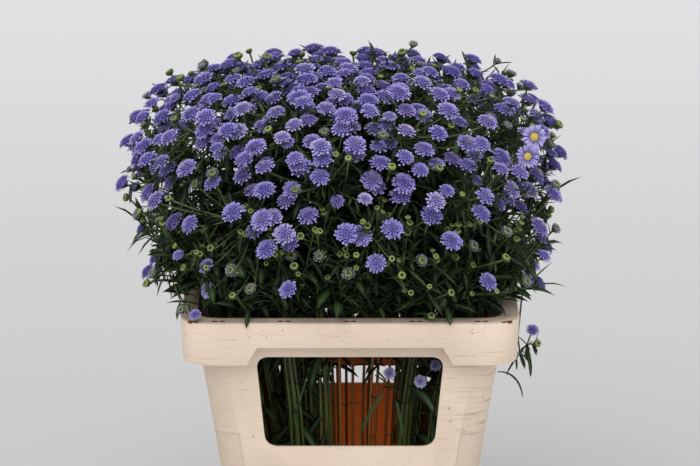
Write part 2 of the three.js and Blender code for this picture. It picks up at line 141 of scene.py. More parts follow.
FLOOR_SIDE = 40.0
floor_finish, tree = new_finish("studio_board")
# The board is painted lighter further back: a painted gradient of light across the floor.
board_with_painted_light = tree.axis("Y").over(0.6, 4.0, paint(203, 202, 203), paint(221, 221, 223))
coat_surface(tree, {"Base Color": board_with_painted_light, "Roughness": 0.9, "Specular IOR Level": 0.1})
floor_mesh = bpy.data.meshes.new("studio_floor")
corner = FLOOR_SIDE / 2
floor_corners = [(-corner, -corner, 0), (corner, -corner, 0), (corner, corner, 0), (-corner, corner, 0)]
floor_mesh.from_pydata(floor_corners, [], [(0, 1, 2, 3)])
floor_mesh.materials.append(floor_finish)
floor = bpy.data.objects.new("studio_floor", floor_mesh)
bpy.context.scene.collection.objects.link(floor)

# Camera and light: a long lens a little above the flowers, as in a grower's catalogue picture,
# and a wide soft light from above the camera with a paler one from all round.
LENS = 177.2
CAMERA_DISTANCE = 4.0
CAMERA_RISE = math.radians(16.0)
AIM = np.array([0.0, -0.145, 0.515])
camera_data = bpy.data.cameras.new("studio_camera")
camera_data.lens = LENS
camera_data.sensor_width = 36.0
camera_data.clip_end = 60.0
camera = bpy.data.objects.new("studio_camera", camera_data)
away = np.array([0.0, -math.cos(CAMERA_RISE), math.sin(CAMERA_RISE)])
camera.location = AIM + CAMERA_DISTANCE * away
camera.rotation_euler = (math.pi / 2 - CAMERA_RISE, 0.0, 0.0)
bpy.context.scene.collection.objects.link(camera)
bpy.context.scene.camera = camera


def soft_sun(name, place, spread, strength):
    """Even light from the way that place points, blurred over a wide part of the sky"""
    data = bpy.data.lights.new(name, "SUN")
    data.angle = math.radians(spread)
    data.energy = strength
    lamp = bpy.data.objects.new(name, data)
    flat = math.hypot(place[0], place[1])
    lamp.rotation_euler = (math.atan2(flat, place[2]), 0.0, math.atan2(-place[1], -place[0]) - math.pi / 2)
    bpy.context.scene.collection.objects.link(lamp)


soft_sun("key_light", (-0.45, -1.0, 1.5), 50, 1.7)
soft_sun("fill_light", (0.9, -1.0, 0.7), 60, 0.5)
world = bpy.data.worlds.new("studio_air")
bpy.context.scene.world = world
world.use_nodes = True
world.node_tree.nodes["Background"].inputs["Color"].default_value = (1.0, 1.0, 1.0, 1.0)
world.node_tree.nodes["Background"].inputs["Strength"].default_value = 0.55
bpy.context.scene.view_settings.view_transform = "Standard"

# Container: one injection moulding in beige plastic, a tapered box with a ledge two thirds up,
# a deep turned-down rim, and a hand window in front and behind, scuffed and grey with use.
HEIGHT = 407
RIM_HALF_X = 200
RIM_HALF_Y = 150
RIM_CORNER = 38
WALL = 3
BASE_HALF_X = 128
BODY_TOP_HALF_X = 185
SIDE_TO_FRONT = 50
LEDGE_Z = 258
LEDGE_STEP = 2
SKIRT_TALL = 53
SKIRT_SHORT = 31
NOTCH_HALF_TOP = 109
NOTCH_HALF_BOTTOM = 122
WINDOW_BOTTOM = 240
REAR_WINDOW_BOTTOM = 247
WINDOW_TOP = 358
WINDOW_HALF_BOTTOM = 100.5
WINDOW_HALF_TOP = 111
WINDOW_CORNER = 16
BAR_BOTTOM = 269
BAR_TOP = 282
SLOT_PITCH = 77
SLOT_LENGTH = 6.5
SLOT_GAP = 2.5
SLOT_WIDTH = 5
BODY_LEDGE_HALF_X = 163
BODY_CORNER = 30
CORNER_PANEL = 31
SKIRT_LEAN = 2.3
RIM_EDGE = 1.5
SLOT_INSET = 7
SLOT_CORNER = 8
WALL_REACH = 60
OVERSHOOT = 1
CUT_REACH = 9
NOTCH_REACH = 12
SLOT_ROUND = 1.2
SOFT_EDGE = 0.9
CORNER_STEPS = 8
GLOW_X = 0.018


def curved(start, bend, end, t):
    """A point of the curve that leaves start towards bend and comes from there to end"""
    return (1 - t) ** 2 * start + 2 * t * (1 - t) * bend + t * t * end


def level(half_x, half_y, radius, z, steps=CORNER_STEPS):
    """A rounded rectangle at one height, its corners turned as curves"""
    outline = []
    for sx, sy in ((1, -1), (1, 1), (-1, 1), (-1, -1)):
        corner_point = np.array([sx * half_x, sy * half_y])
        inward_x = np.array([-sx * radius, 0.0])
        inward_y = np.array([0.0, -sy * radius])
        first, last = (inward_x, inward_y) if sx * sy < 0 else (inward_y, inward_x)
        for i in range(steps + 1):
            x, y = curved(corner_point + first, corner_point, corner_point + last, i / steps)
            outline.append((x, y, z))
    return outline


def walls_between(rings, around):
    """The faces that join rings of that many points each, from one ring to the next"""
    walls = []
    for low in range(0, (rings - 1) * around, around):
        for i in range(around):
            j = (i + 1) % around
            walls.append((low + i, low + j, low + around + j, low + around + i))
    return walls


def caps_of(rings, around):
    """The faces that close the first ring and the last"""
    last = (rings - 1) * around
    return tuple(range(around - 1, -1, -1)), tuple(range(last, last + around))


def closed_solid(rings):
    """Rings of equal counts joined in order, with both ends closed"""
    size = len(rings), len(rings[0])
    points = [(x * MM, y * MM, z * MM) for ring in rings for x, y, z in ring]
    bottom, top = caps_of(*size)
    mesh = bpy.data.meshes.new("moulding")
    mesh.from_pydata(points, [], [bottom, *walls_between(*size), top])
    solid = bpy.data.objects.new("moulding", mesh)
    bpy.context.scene.collection.objects.link(solid)
    return solid


def settled(solid):
    """The object's modifiers worked into its mesh"""
    graph = bpy.context.evaluated_depsgraph_get()
    shaped = bpy.data.meshes.new_from_object(solid.evaluated_get(graph))
    solid.modifiers.clear()
    solid.data = shaped


def moulded(solid, other, operation="DIFFERENCE"):
    change = solid.modifiers.new("change", "BOOLEAN")
    change.operation = operation
    change.solver = "EXACT"
    change.object = other
    settled(solid)
    bpy.data.objects.remove(other)


def body_half_x(z):
    """Half the body's width at a height; its slope changes at the ledge"""
    if z <= LEDGE_Z:
        return BASE_HALF_X + (BODY_LEDGE_HALF_X - BASE_HALF_X) * z / LEDGE_Z
    return BODY_LEDGE_HALF_X + (BODY_TOP_HALF_X - BODY_LEDGE_HALF_X) * (z - LEDGE_Z) / (HEIGHT - LEDGE_Z)


def rim_level(inset, radius, z):
    return level(RIM_HALF_X - inset, RIM_HALF_Y - inset, radius, z)


def shell(inset, side_inset, front_inset, heights, radius):
    """The tapered body, or its hollow, between the given heights"""
    rings = []
    for z in heights:
        half = body_half_x(z) - inset
        rings.append(level(half - side_inset, half - SIDE_TO_FRONT - front_inset, radius, z))
    return closed_solid(rings)


def window_cut(bottom, top, radius, y_near, y_far):
    """A bar with the window's outline, rounded at its four corners"""
    lean = (WINDOW_HALF_TOP - WINDOW_HALF_BOTTOM) / (WINDOW_TOP - WINDOW_BOTTOM)
    middle = (bottom + top) / 2
    half_height = (top - bottom) / 2
    half_width = WINDOW_HALF_BOTTOM + (middle - WINDOW_BOTTOM) * lean
    flat = level(half_width, half_height, radius, 0)
    outline = [(x + z * lean * math.copysign(1, x), middle + z) for x, z, _ in flat]
    return closed_solid([[(x, y, z) for x, z in outline] for y in (y_far, y_near)])


skirt_bottom = HEIGHT - SKIRT_TALL
container = closed_solid([
    rim_level(SKIRT_LEAN, RIM_CORNER, skirt_bottom),
    rim_level(0, RIM_CORNER, HEIGHT - RIM_EDGE * 2),
    rim_level(RIM_EDGE * 0.3, RIM_CORNER, HEIGHT - RIM_EDGE * 0.8),
    rim_level(RIM_EDGE * 1.3, RIM_CORNER, HEIGHT),
])
moulded(container, closed_solid([
    rim_level(SKIRT_LEAN + WALL, RIM_CORNER - WALL, skirt_bottom - OVERSHOOT),
    rim_level(WALL, RIM_CORNER - WALL, HEIGHT - WALL),
]))
notch = [
    (NOTCH_HALF_BOTTOM, skirt_bottom - OVERSHOOT),
    (NOTCH_HALF_TOP, HEIGHT - SKIRT_SHORT),
    (-NOTCH_HALF_TOP, HEIGHT - SKIRT_SHORT),
    (-NOTCH_HALF_BOTTOM, skirt_bottom - OVERSHOOT),
]
for y in (-RIM_HALF_Y, RIM_HALF_Y):
    ends = (y + NOTCH_REACH, y - NOTCH_REACH)
    moulded(container, closed_solid([[(x, end, z) for x, z in notch] for end in ends]))
below = (0, LEDGE_Z)
for added in (
    shell(0, 0, 0, (LEDGE_Z, HEIGHT - OVERSHOOT), BODY_CORNER),
    shell(LEDGE_STEP, 0, 0, (0, LEDGE_Z + OVERSHOOT), BODY_CORNER),
    shell(0, CORNER_PANEL, 0, below, 1),
    shell(0, 0, CORNER_PANEL, below, 1),
):
    moulded(container, added, "UNION")
beyond = RIM_HALF_Y + CUT_REACH
for removed in (
    shell(WALL + LEDGE_STEP, 0, 0, (WALL, HEIGHT + OVERSHOOT), BODY_CORNER - WALL),
    window_cut(WINDOW_BOTTOM, WINDOW_TOP, WINDOW_CORNER, -beyond, -WALL_REACH),
    window_cut(REAR_WINDOW_BOTTOM, BAR_BOTTOM, SLOT_CORNER, WALL_REACH, beyond),
    window_cut(BAR_TOP, WINDOW_TOP, WINDOW_CORNER, WALL_REACH, beyond),
):
    moulded(container, removed)
for y in (-RIM_HALF_Y + SLOT_INSET, RIM_HALF_Y - SLOT_INSET):
    for pair in range(-2, 3):
        for side in (-1, 1):
            x = pair * SLOT_PITCH + side * (SLOT_LENGTH + SLOT_GAP) / 2
            flat = level(SLOT_LENGTH / 2, SLOT_WIDTH / 2, SLOT_ROUND, 0, 2)
            heights = (HEIGHT - WALL * 1.5, HEIGHT + WALL)
            moulded(container, closed_solid([[(x + px, y + py, z) for px, py, _ in flat] for z in heights]))

softening = container.modifiers.new("soft_edges", "BEVEL")
softening.width = SOFT_EDGE * MM
softening.segments = 2
softening.limit_method = "ANGLE"
softening.angle_limit = math.radians(40)
settled(container)

plastic, tree = new_finish("beige_plastic")
place = tree.place()
high = tree.axis("Z")
broad = tree.noise(place, 9.0, 4.0)
streaks = tree.noise(tree.stretched(place, (9.0, 9.0, 120.0)), 2.4, 6.0, 0.62)
specks = tree.noise(place, 230.0, 3.0)
clean = broad.over(0.35, 0.7, paint(240, 220, 199), paint(231, 210, 188))
rubbed = tree.noise(place, 4.5, 2.0).ramped(0.42, 0.62)
handled = tree.axis("X").ramped(0.09, 0.15) * high.ramped(0.24, 0.27) * (1 - high.ramped(0.36, 0.38))
scuffs = streaks.ramped(0.52, 0.7) * (0.16 + rubbed * 0.3 + handled * 0.45)
worn = scuffs.blended(clean, paint(176, 148, 118))
shaded = ((1 - high.ramped(0.1, 0.34)) * 0.4).blended(worn, paint(204, 184, 166))
specked = specks.over(0.68, 0.74, shaded, paint(104, 84, 62), 0.6)
top_dirt = high.ramped((HEIGHT - 2.5) * MM, (HEIGHT - 0.6) * MM) * (0.3 + broad.ramped(0.3, 0.65) * 0.4)
dirty = top_dirt.blended(specked, paint(166, 152, 132))
rise = tree.noise(place, 900.0, 2.0) * 0.3 + streaks * 0.7
roughness = 0.42 + broad * 0.16 + streaks.ramped(0.5, 0.75) * 0.14
coat_surface(tree, {"Base Color": dirty, "Roughness": roughness, "Normal": tree.bump(rise, 0.18, 0.0006)})

lining, tree = new_finish("lining_with_painted_shade_and_glow")
place = tree.place()
high = tree.axis("Z")
broad = tree.noise(place, 12.0, 4.0)
dried = tree.noise(tree.stretched(place, (60.0, 60.0, 6.0)), 3.0, 4.0)
# The walls inside are orange-brown, darker higher up: painted shade inside the container, tinted by painted
# light through the beige wall. The dried marks laid over it are stains.
painted_shade_and_glow = high.over(0.2, 0.36, paint(150, 72, 28), paint(104, 52, 26))
painted_shade_glow_and_marks = dried.over(0.5, 0.75, painted_shade_and_glow, paint(92, 52, 30), 0.4)
# The middle of the rear wall glows orange, more strongly lower down: painted light through the wall, not a
# lamp.
off_middle = tree.math("ABSOLUTE", tree.axis("X") - GLOW_X)
behind = tree.axis("Y").ramped(0.06, 0.1) * (1 - off_middle.ramped(0.032, 0.056))
glow = behind * (1 - high.ramped(0.2, 0.29) * 0.65)
coat_surface(tree, {
    "Base Color": painted_shade_glow_and_marks,
    "Roughness": 0.45 + broad * 0.2,
    "Normal": tree.bump(broad, 0.2, 0.0008),
    "Emission Color": glow.blended(paint(0, 0, 0), paint(190, 84, 20)),
    "Emission Strength": 0.26,
})
container.data.materials.clear()
container.data.materials.append(plastic)
container.data.materials.append(lining)
# Faces inside the container take the lining, with its painted shade and painted glow.
for face in container.data.polygons:
    x, y, z = (part / MM for part in face.center)
    half = body_half_x(z) - WALL + 1
    within = abs(x) < half and abs(y) < half - SIDE_TO_FRONT and 1 < z < HEIGHT - WALL
    towards_middle = face.normal[0] * x + face.normal[1] * y < 0 or z < WALL + 1
    # The slot walls take the lining too; its dark orange-brown there is painted shade in the slots.
    off_slot = abs(abs(y) - RIM_HALF_Y + SLOT_INSET)
    in_slot = off_slot <= SLOT_WIDTH / 2 + 0.1 and HEIGHT - 2 * WALL < z < HEIGHT - 0.3
    face.material_index = int(within and towards_middle or in_slot)
container.name = "flower_container"
container.data.shade_smooth()
container.data.set_sharp_from_angle(angle=math.radians(32))
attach(container, "root")
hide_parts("container")

# Water: about ten centimetres of it in the bottom of the container, faintly green,
# standing round every cut stem.
water_finish, tree = new_finish("still_water")
cloud = tree.noise(tree.place(), 14.0, 3.0)
coat_surface(tree, {
    "Base Color": cloud.over(0.3, 0.7, paint(196, 206, 184), paint(176, 190, 160)),
    "Roughness": 0.05,
    "IOR": 1.33,
    "Transmission Weight": 0.9,
    "Normal": tree.bump(cloud, 0.2, 0.001),
})
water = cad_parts["water"]
water.material_slots[0].material = water_finish

# Sprays: twenty-eight cut stems stand in the water, lean outward over the rim, and branch into
# a dome of blooms and buds. Their places follow the rule that also places the solid parts.
SEED = 20261
CLEAR = 0.35
DOME_CENTRE = np.array([-6.0, 0.0, 552.0])
DOME_HALF_X = 250
DOME_HALF_Y = 186
DOME_UP = 126
DOME_DOWN = 225
DOME_POWER = 3.4
LOWEST_COSINE = -0.47
SPRAYS = 28
BLOOMS = 256
BUDS = 42
TUFT_RADIUS = 9
STEM_RADII = (3.4, 3.4, 3.2, 3, TUFT_RADIUS, TUFT_RADIUS * 0.6, 2.6)
STAND_HALF_X = 104
STAND_HALF_Y = 58
UPRIGHT_TO = 125
WAIST_Z = 270
WAIST_OUT = (1.16, 1.2)
NECK_Z = 390
NECK_OUT = (1.4, 1.46)
FOOT_SHARE = 0.42
FOOT_SPREAD = 0.22
FOOT_DROP = 45
AXIS_SHARE = 0.9
AXIS_RADIUS = 3.2
COLLAR = 6
PEDICEL_RADIUS = 1
BRANCH_LEAN = 0.6
ROOT_PITCH = 4.5
ROOT_FREE = 6
STRAY_SHARE = 0.04
DEEPEST = 0.16
LOW_SHARE = 0.14
LEVEL_SHARE = 0.9
SHARE_SLOPE = 1.5
LOWEST_BLOOM = 426
WIDEST_SPACING = 60
FACE_UP = 1
FACE_WOBBLE = 0.22
SMALL_SHARE = 0.2
BLOOM_THICKNESS = 0.42
BLOOM_SINK = 0.8
BUD_SINK = 0.7
LEAVES = 4
LOW_LEAVES = 1
LEAF_TRIES = 14
UPPER_LEAF = ((0.1, 0.9), (52, 84), (0.2, 1.1))
LOWER_LEAF = ((0.4, 1), (30, 45), (-0.2, 0.7))
LOWEST_LEAF_TIP = 412
LOW_LEAF_REACH_X = 118
LOW_LEAF_REACH_Y = 70
WINDOW_CLEAR_Y = -92
CHOICES = 24
TURN = 2 * math.pi
GOLDEN_TURN = TURN * 0.381966
WORD = 0xFFFFFFFF
state = SEED


def draw():
    """The next of the seeded draws, from 0 to 1"""
    global state
    state = (state + 0x6D2B79F5) & WORD
    mixed = ((state ^ (state >> 15)) * (state | 1)) & WORD
    mixed ^= (mixed + (((mixed ^ (mixed >> 7)) * (mixed | 61)) & WORD)) & WORD
    return (mixed ^ (mixed >> 14)) / 4294967296


def between(low, high_end):
    return low + (high_end - low) * draw()


def vec(x, y, z):
    return np.array([x, y, z], float)


def unit(vector):
    length = math.sqrt(vector @ vector)
    return vector / length if length else vector


def on_dome(direction):
    """The point of the dome's surface that lies that way from its centre"""
    down = DOME_UP if direction[2] > 0 else DOME_DOWN
    parts = np.abs(direction / (DOME_HALF_X, DOME_HALF_Y, down)) ** DOME_POWER
    return direction * (parts[0] + parts[1] + parts[2]) ** (-1 / DOME_POWER)


def direction_of(cosine, turn):
    sine = math.sqrt(1 - cosine * cosine)
    return vec(sine * math.cos(turn), sine * math.sin(turn), cosine)


class Rod:
    def __init__(self, node, a, b, radius, trunk=False):
        self.node, self.a, self.b, self.radius, self.trunk = node, a, b, radius, trunk
        self.middle = (a + b) / 2
        self.ball = math.sqrt((b - a) @ (b - a)) / 2 + radius


class Disc:
    trunk = False

    def __init__(self, node, centre, normal, radius, thick):
        self.node, self.centre, self.normal, self.radius, self.thick = node, centre, normal, radius, thick
        self.middle = centre
        self.ball = radius

    def reach(self, direction):
        axial = self.normal @ direction
        return math.sqrt((self.thick * axial) ** 2 + self.radius ** 2 * max(0, 1 - axial * axial))


def clamp(value, low, high_end):
    return max(low, min(high_end, value))


def rod_gap(p, q):
    u, v, w = p.b - p.a, q.b - q.a, p.a - q.a
    uu, uv, vv, uw, vw = u @ u, u @ v, v @ v, u @ w, v @ w
    flat = uu * vv - uv * uv
    s = 0 if flat < 1e-9 else clamp((uv * vw - vv * uw) / flat, 0, 1)
    t = clamp((uv * s + vw) / vv, 0, 1)
    s = clamp((uv * t - uw) / uu, 0, 1)
    apart = p.a + u * s - q.a - v * t
    return math.sqrt(apart @ apart) - p.radius - q.radius


def disc_gap(p, q):
    apart = q.centre - p.centre
    return max(abs(apart @ d) - p.reach(d) - q.reach(d) for d in (p.normal, q.normal, unit(apart)))


def rod_disc_gap(rod, disc):
    along = rod.b - rod.a
    t = clamp((disc.centre - rod.a) @ along / (along @ along), 0, 1)
    near = rod.a + along * t - disc.centre
    flat = near - (near @ disc.normal) * disc.normal
    gaps = []
    for d in (disc.normal, unit(near), unit(flat)):
        a, b = (rod.a - disc.centre) @ d, (rod.b - disc.centre) @ d
        gaps.append(max(min(a, b), min(-a, -b)) - rod.radius - disc.reach(d))
    return max(gaps)


def gap_of(p, q):
    if isinstance(p, Disc) and isinstance(q, Disc):
        return disc_gap(p, q)
    if isinstance(p, Disc):
        return rod_disc_gap(q, p)
    if isinstance(q, Disc):
        return rod_disc_gap(p, q)
    return rod_gap(p, q)


placed = []
middles = np.zeros((4000, 3))
balls = np.zeros(4000)


def put(*pieces):
    for piece in pieces:
        middles[len(placed)] = piece.middle
        balls[len(placed)] = piece.ball
        placed.append(piece)


def clears(piece, room=CLEAR):
    """Pieces of one spray may touch its own trunk, and nothing else touches"""
    count = len(placed)
    gaps = middles[:count] - piece.middle
    reach = balls[:count] + piece.ball + room
    for i in np.nonzero((gaps * gaps).sum(1) <= reach * reach)[0]:
        other = placed[i]
        if not (other.node == piece.node and other.trunk) and gap_of(piece, other) < room:
            return False
    return True


class Spray:
    def __init__(self, k):
        share = (k + 0.5) / SPRAYS
        turn = GOLDEN_TURN * k
        tip = on_dome(direction_of(1 - (1 - LOWEST_COSINE) * share, turn))
        out = math.sqrt(share)
        foot = DOME_CENTRE + tip * (FOOT_SHARE + FOOT_SPREAD * share)
        foot[2] -= FOOT_DROP * share
        base_x = STAND_HALF_X * out * math.cos(turn)
        base_y = STAND_HALF_Y * out * math.sin(turn)
        neck = vec(base_x * NECK_OUT[0], base_y * NECK_OUT[1], NECK_Z)
        self.path = [
            vec(base_x, base_y, WALL + CLEAR),
            vec(base_x, base_y, UPRIGHT_TO),
            vec(base_x * WAIST_OUT[0], base_y * WAIST_OUT[1], WAIST_Z),
            neck,
            neck + (foot - neck) * 0.45,
            neck + (foot - neck) * 0.85,
            foot,
        ]
        self.number = f"{k + 1:02d}"
        self.green = f"aster_stem_{self.number}"
        self.purple = f"aster_head_{self.number}"
        self.anchor = DOME_CENTRE + tip
        self.top = DOME_CENTRE + tip * AXIS_SHARE
        rise = unit(foot - neck)
        self.start = foot + rise * CLEAR
        self.bend = foot + rise * COLLAR
        self.bloom_roots, self.bud_roots = [], []
        self.blooms, self.buds, self.young, self.leaves = [], [], [], []
        for i in range(len(self.path) - 1):
            radius = max(STEM_RADII[i], STEM_RADII[i + 1])
            put(Rod(self.green, self.path[i], self.path[i + 1], radius, True))
        put(Rod(self.purple, self.bend, self.top, AXIS_RADIUS, True))


sprays = [Spray(k) for k in range(SPRAYS)]
anchors = np.array([spray.anchor for spray in sprays])


def nearest(places, point):
    gaps = places - point
    return int(np.argmin((gaps * gaps).sum(1)))


def spray_near(point):
    return sprays[nearest(anchors, point)]


def root_on(a, b, tip, taken):
    """The free place on a branch that suits a stalk to tip best"""
    axis = b - a
    length = math.sqrt(axis @ axis)
    axis = axis / length
    along = (tip - a) @ axis
    off = tip - a - along * axis
    wish = along - math.sqrt(off @ off) * BRANCH_LEAN
    best = None
    at = ROOT_PITCH
    while at < length - ROOT_PITCH / 2:
        if at not in taken and (best is None or abs(at - wish) < abs(best - wish)):
            best = at
        at += ROOT_PITCH
    return None if best is None else (best, a + axis * best)


def free_rod(node, root, end, radius):
    """A rod is tested past its first few millimetres, which stand in what carries it"""
    along = end - root
    return Rod(node, root + along * min(ROOT_FREE / math.sqrt(along @ along), 0.5), end, radius)


sites = []


def candidates():
    """Places on the dome, those with the most space round them first"""
    found = []
    while len(found) < CHOICES:
        direction = direction_of(between(LOWEST_COSINE, 1), between(0, TURN))
        depth = draw()
        lift = between(1.02, 1.08) if draw() < STRAY_SHARE else 1 - DEEPEST * depth * depth
        keep = draw() < clamp(LEVEL_SHARE + SHARE_SLOPE * direction[2], LOW_SHARE, 1)
        point = on_dome(direction) * lift + DOME_CENTRE
        if not keep or point[2] < LOWEST_BLOOM:
            continue
        space = WIDEST_SPACING
        if sites:
            gaps = np.array(sites) - point
            space = min(space, math.sqrt((gaps * gaps).sum(1).min()))
        found.append((space, point, direction))
    return sorted(found, key=lambda place: -place[0])


def face_of(direction):
    normal = unit(direction) + vec(0, 0, FACE_UP)
    wobble = [between(-FACE_WOBBLE, FACE_WOBBLE) for _ in range(3)]
    return unit(normal + np.array(wobble))


def settle(radius, thick, sunk, carrying):
    """Puts a bloom or a bud at the first candidate place where it and its stalk stand clear"""
    for _, point, direction in candidates():
        spray = spray_near(point)
        normal = face_of(direction)
        under = point - normal * sunk
        node, start, end, taken, carried = carrying(spray)
        root = root_on(start, end, under, taken)
        if root is None:
            continue
        disc = Disc(node, point, normal, radius, thick)
        pedicel = free_rod(node, root[1], under, PEDICEL_RADIUS)
        if clears(disc) and clears(pedicel):
            put(disc, pedicel)
            sites.append(point)
            taken.append(root[0])
            carried.append((disc, root[1], under))
            return


def blooms_of(spray):
    return spray.purple, spray.bend, spray.top, spray.bloom_roots, spray.blooms


def buds_of(spray):
    return spray.green, spray.path[3], spray.path[5], spray.bud_roots, spray.buds


for _ in range(BLOOMS):
    size = draw()
    radius = between(9.5, 11.5) if size < SMALL_SHARE else between(13.5, 17)
    thick = radius * BLOOM_THICKNESS
    settle(radius, thick, thick * BLOOM_SINK, blooms_of)
for _ in range(BUDS):
    radius = between(4, 5.4)
    settle(radius, radius, radius * BUD_SINK, buds_of)

for spray in sprays:
    for i in range(LEAVES):
        for _ in range(LEAF_TRIES):
            upper = i < LEAVES - LOW_LEAVES or spray.path[0][1] > 0
            a, b = (spray.path[3], spray.path[5]) if upper else (spray.path[1], spray.path[2])
            shares, lengths, rises = UPPER_LEAF if upper else LOWER_LEAF
            root = a + (b - a) * between(*shares)
            length = between(*lengths)
            turn = between(0, TURN)
            outward = vec(math.cos(turn), math.sin(turn), 0)
            if upper:
                outward = outward + unit(vec(root[0], root[1] * 1.3, 0)) * 0.9
            outward = unit(outward)
            rise = between(*rises)
            droop = between(0.25, 0.75)
            middle = root + unit(vec(outward[0], outward[1], rise)) * (length * 0.5)
            tip = middle + unit(vec(outward[0], outward[1], rise - droop * 1.6)) * (length * 0.5)
            half = length * between(0.07, 0.09)
            inner = free_rod(spray.green, root, middle, half * 0.8)
            outer = Rod(spray.green, middle, tip, half)
            if tip[2] < LOWEST_LEAF_TIP and upper:
                continue
            if not upper and min(middle[1], tip[1]) < WINDOW_CLEAR_Y + half:
                continue
            if not upper and (abs(tip[1]) > LOW_LEAF_REACH_Y or abs(tip[0]) > LOW_LEAF_REACH_X):
                continue
            if clears(inner) and clears(outer):
                put(inner, outer)
                spray.leaves.append((root, middle, half))
                break

# Deeper blooms: between the outer ones the dome is packed with more blooms a little further in.
# They share the sprays' branches, and close the view into the middle.
DEEP_BLOOMS = 284
DEEP_OVERLAP = -3.2
DEEP_REACH = (0.8, 1.02)
DEEP_SHARES = (0.42, 1.7)
MORE_BUDS = 84
BUD_OVERLAP = -0.4
BUD_REACH = (0.86, 1.02)
BUD_SHARES = (1, 0.3)
LEAST_SHARE = 0.04
TRIES_EACH = 16
BETWEEN = "between"
chance = np.random.default_rng(41)


def deeper_site(reach, shares):
    """A place inside the dome, by the rule of the outer ones"""
    while True:
        direction = direction_of(chance.uniform(LOWEST_COSINE, 1), chance.uniform(0, TURN))
        point = on_dome(direction) * chance.uniform(*reach) + DOME_CENTRE
        keep = chance.uniform() < clamp(shares[0] + shares[1] * direction[2], LEAST_SHARE, 1)
        if keep and point[2] > LOWEST_BLOOM:
            return point, unit(unit(direction) + vec(0, 0, FACE_UP) + chance.uniform(-0.3, 0.3, 3))


def packed_between(wanted, reach, shares, radii, flatness, sink, overlap):
    """Discs between the outer ones, each with its spray and where its stalk starts and ends"""
    found = []
    for _ in range(wanted * TRIES_EACH):
        if len(found) == wanted:
            break
        point, normal = deeper_site(reach, shares)
        radius = chance.uniform(*radii)
        thick = radius * flatness
        under = point - normal * (thick * sink)
        disc = Disc(BETWEEN, point, normal, radius, thick)
        if clears(disc, overlap):
            spray = spray_near(point)
            put(disc)
            found.append((spray, (disc, root_on(spray.bend, spray.top, under, [])[1], under)))
    return found


deep = (DEEP_BLOOMS, DEEP_REACH, DEEP_SHARES, (12, 16), BLOOM_THICKNESS, BLOOM_SINK, DEEP_OVERLAP)
for spray, made in packed_between(*deep):
    spray.blooms.append(made)
young = (MORE_BUDS, BUD_REACH, BUD_SHARES, (3.8, 5.2), 1, BUD_SINK, BUD_OVERLAP)
for spray, made in packed_between(*young):
    spray.young.append(made)


# Blooms: fully double asters two to three centimetres across, a low cushion of about a hundred short
# blunt lavender-blue rays over a green cup of small bracts, on a thin stalk with tiny leaves.
LEFT, RIGHT, TIP = 1, 2, 3


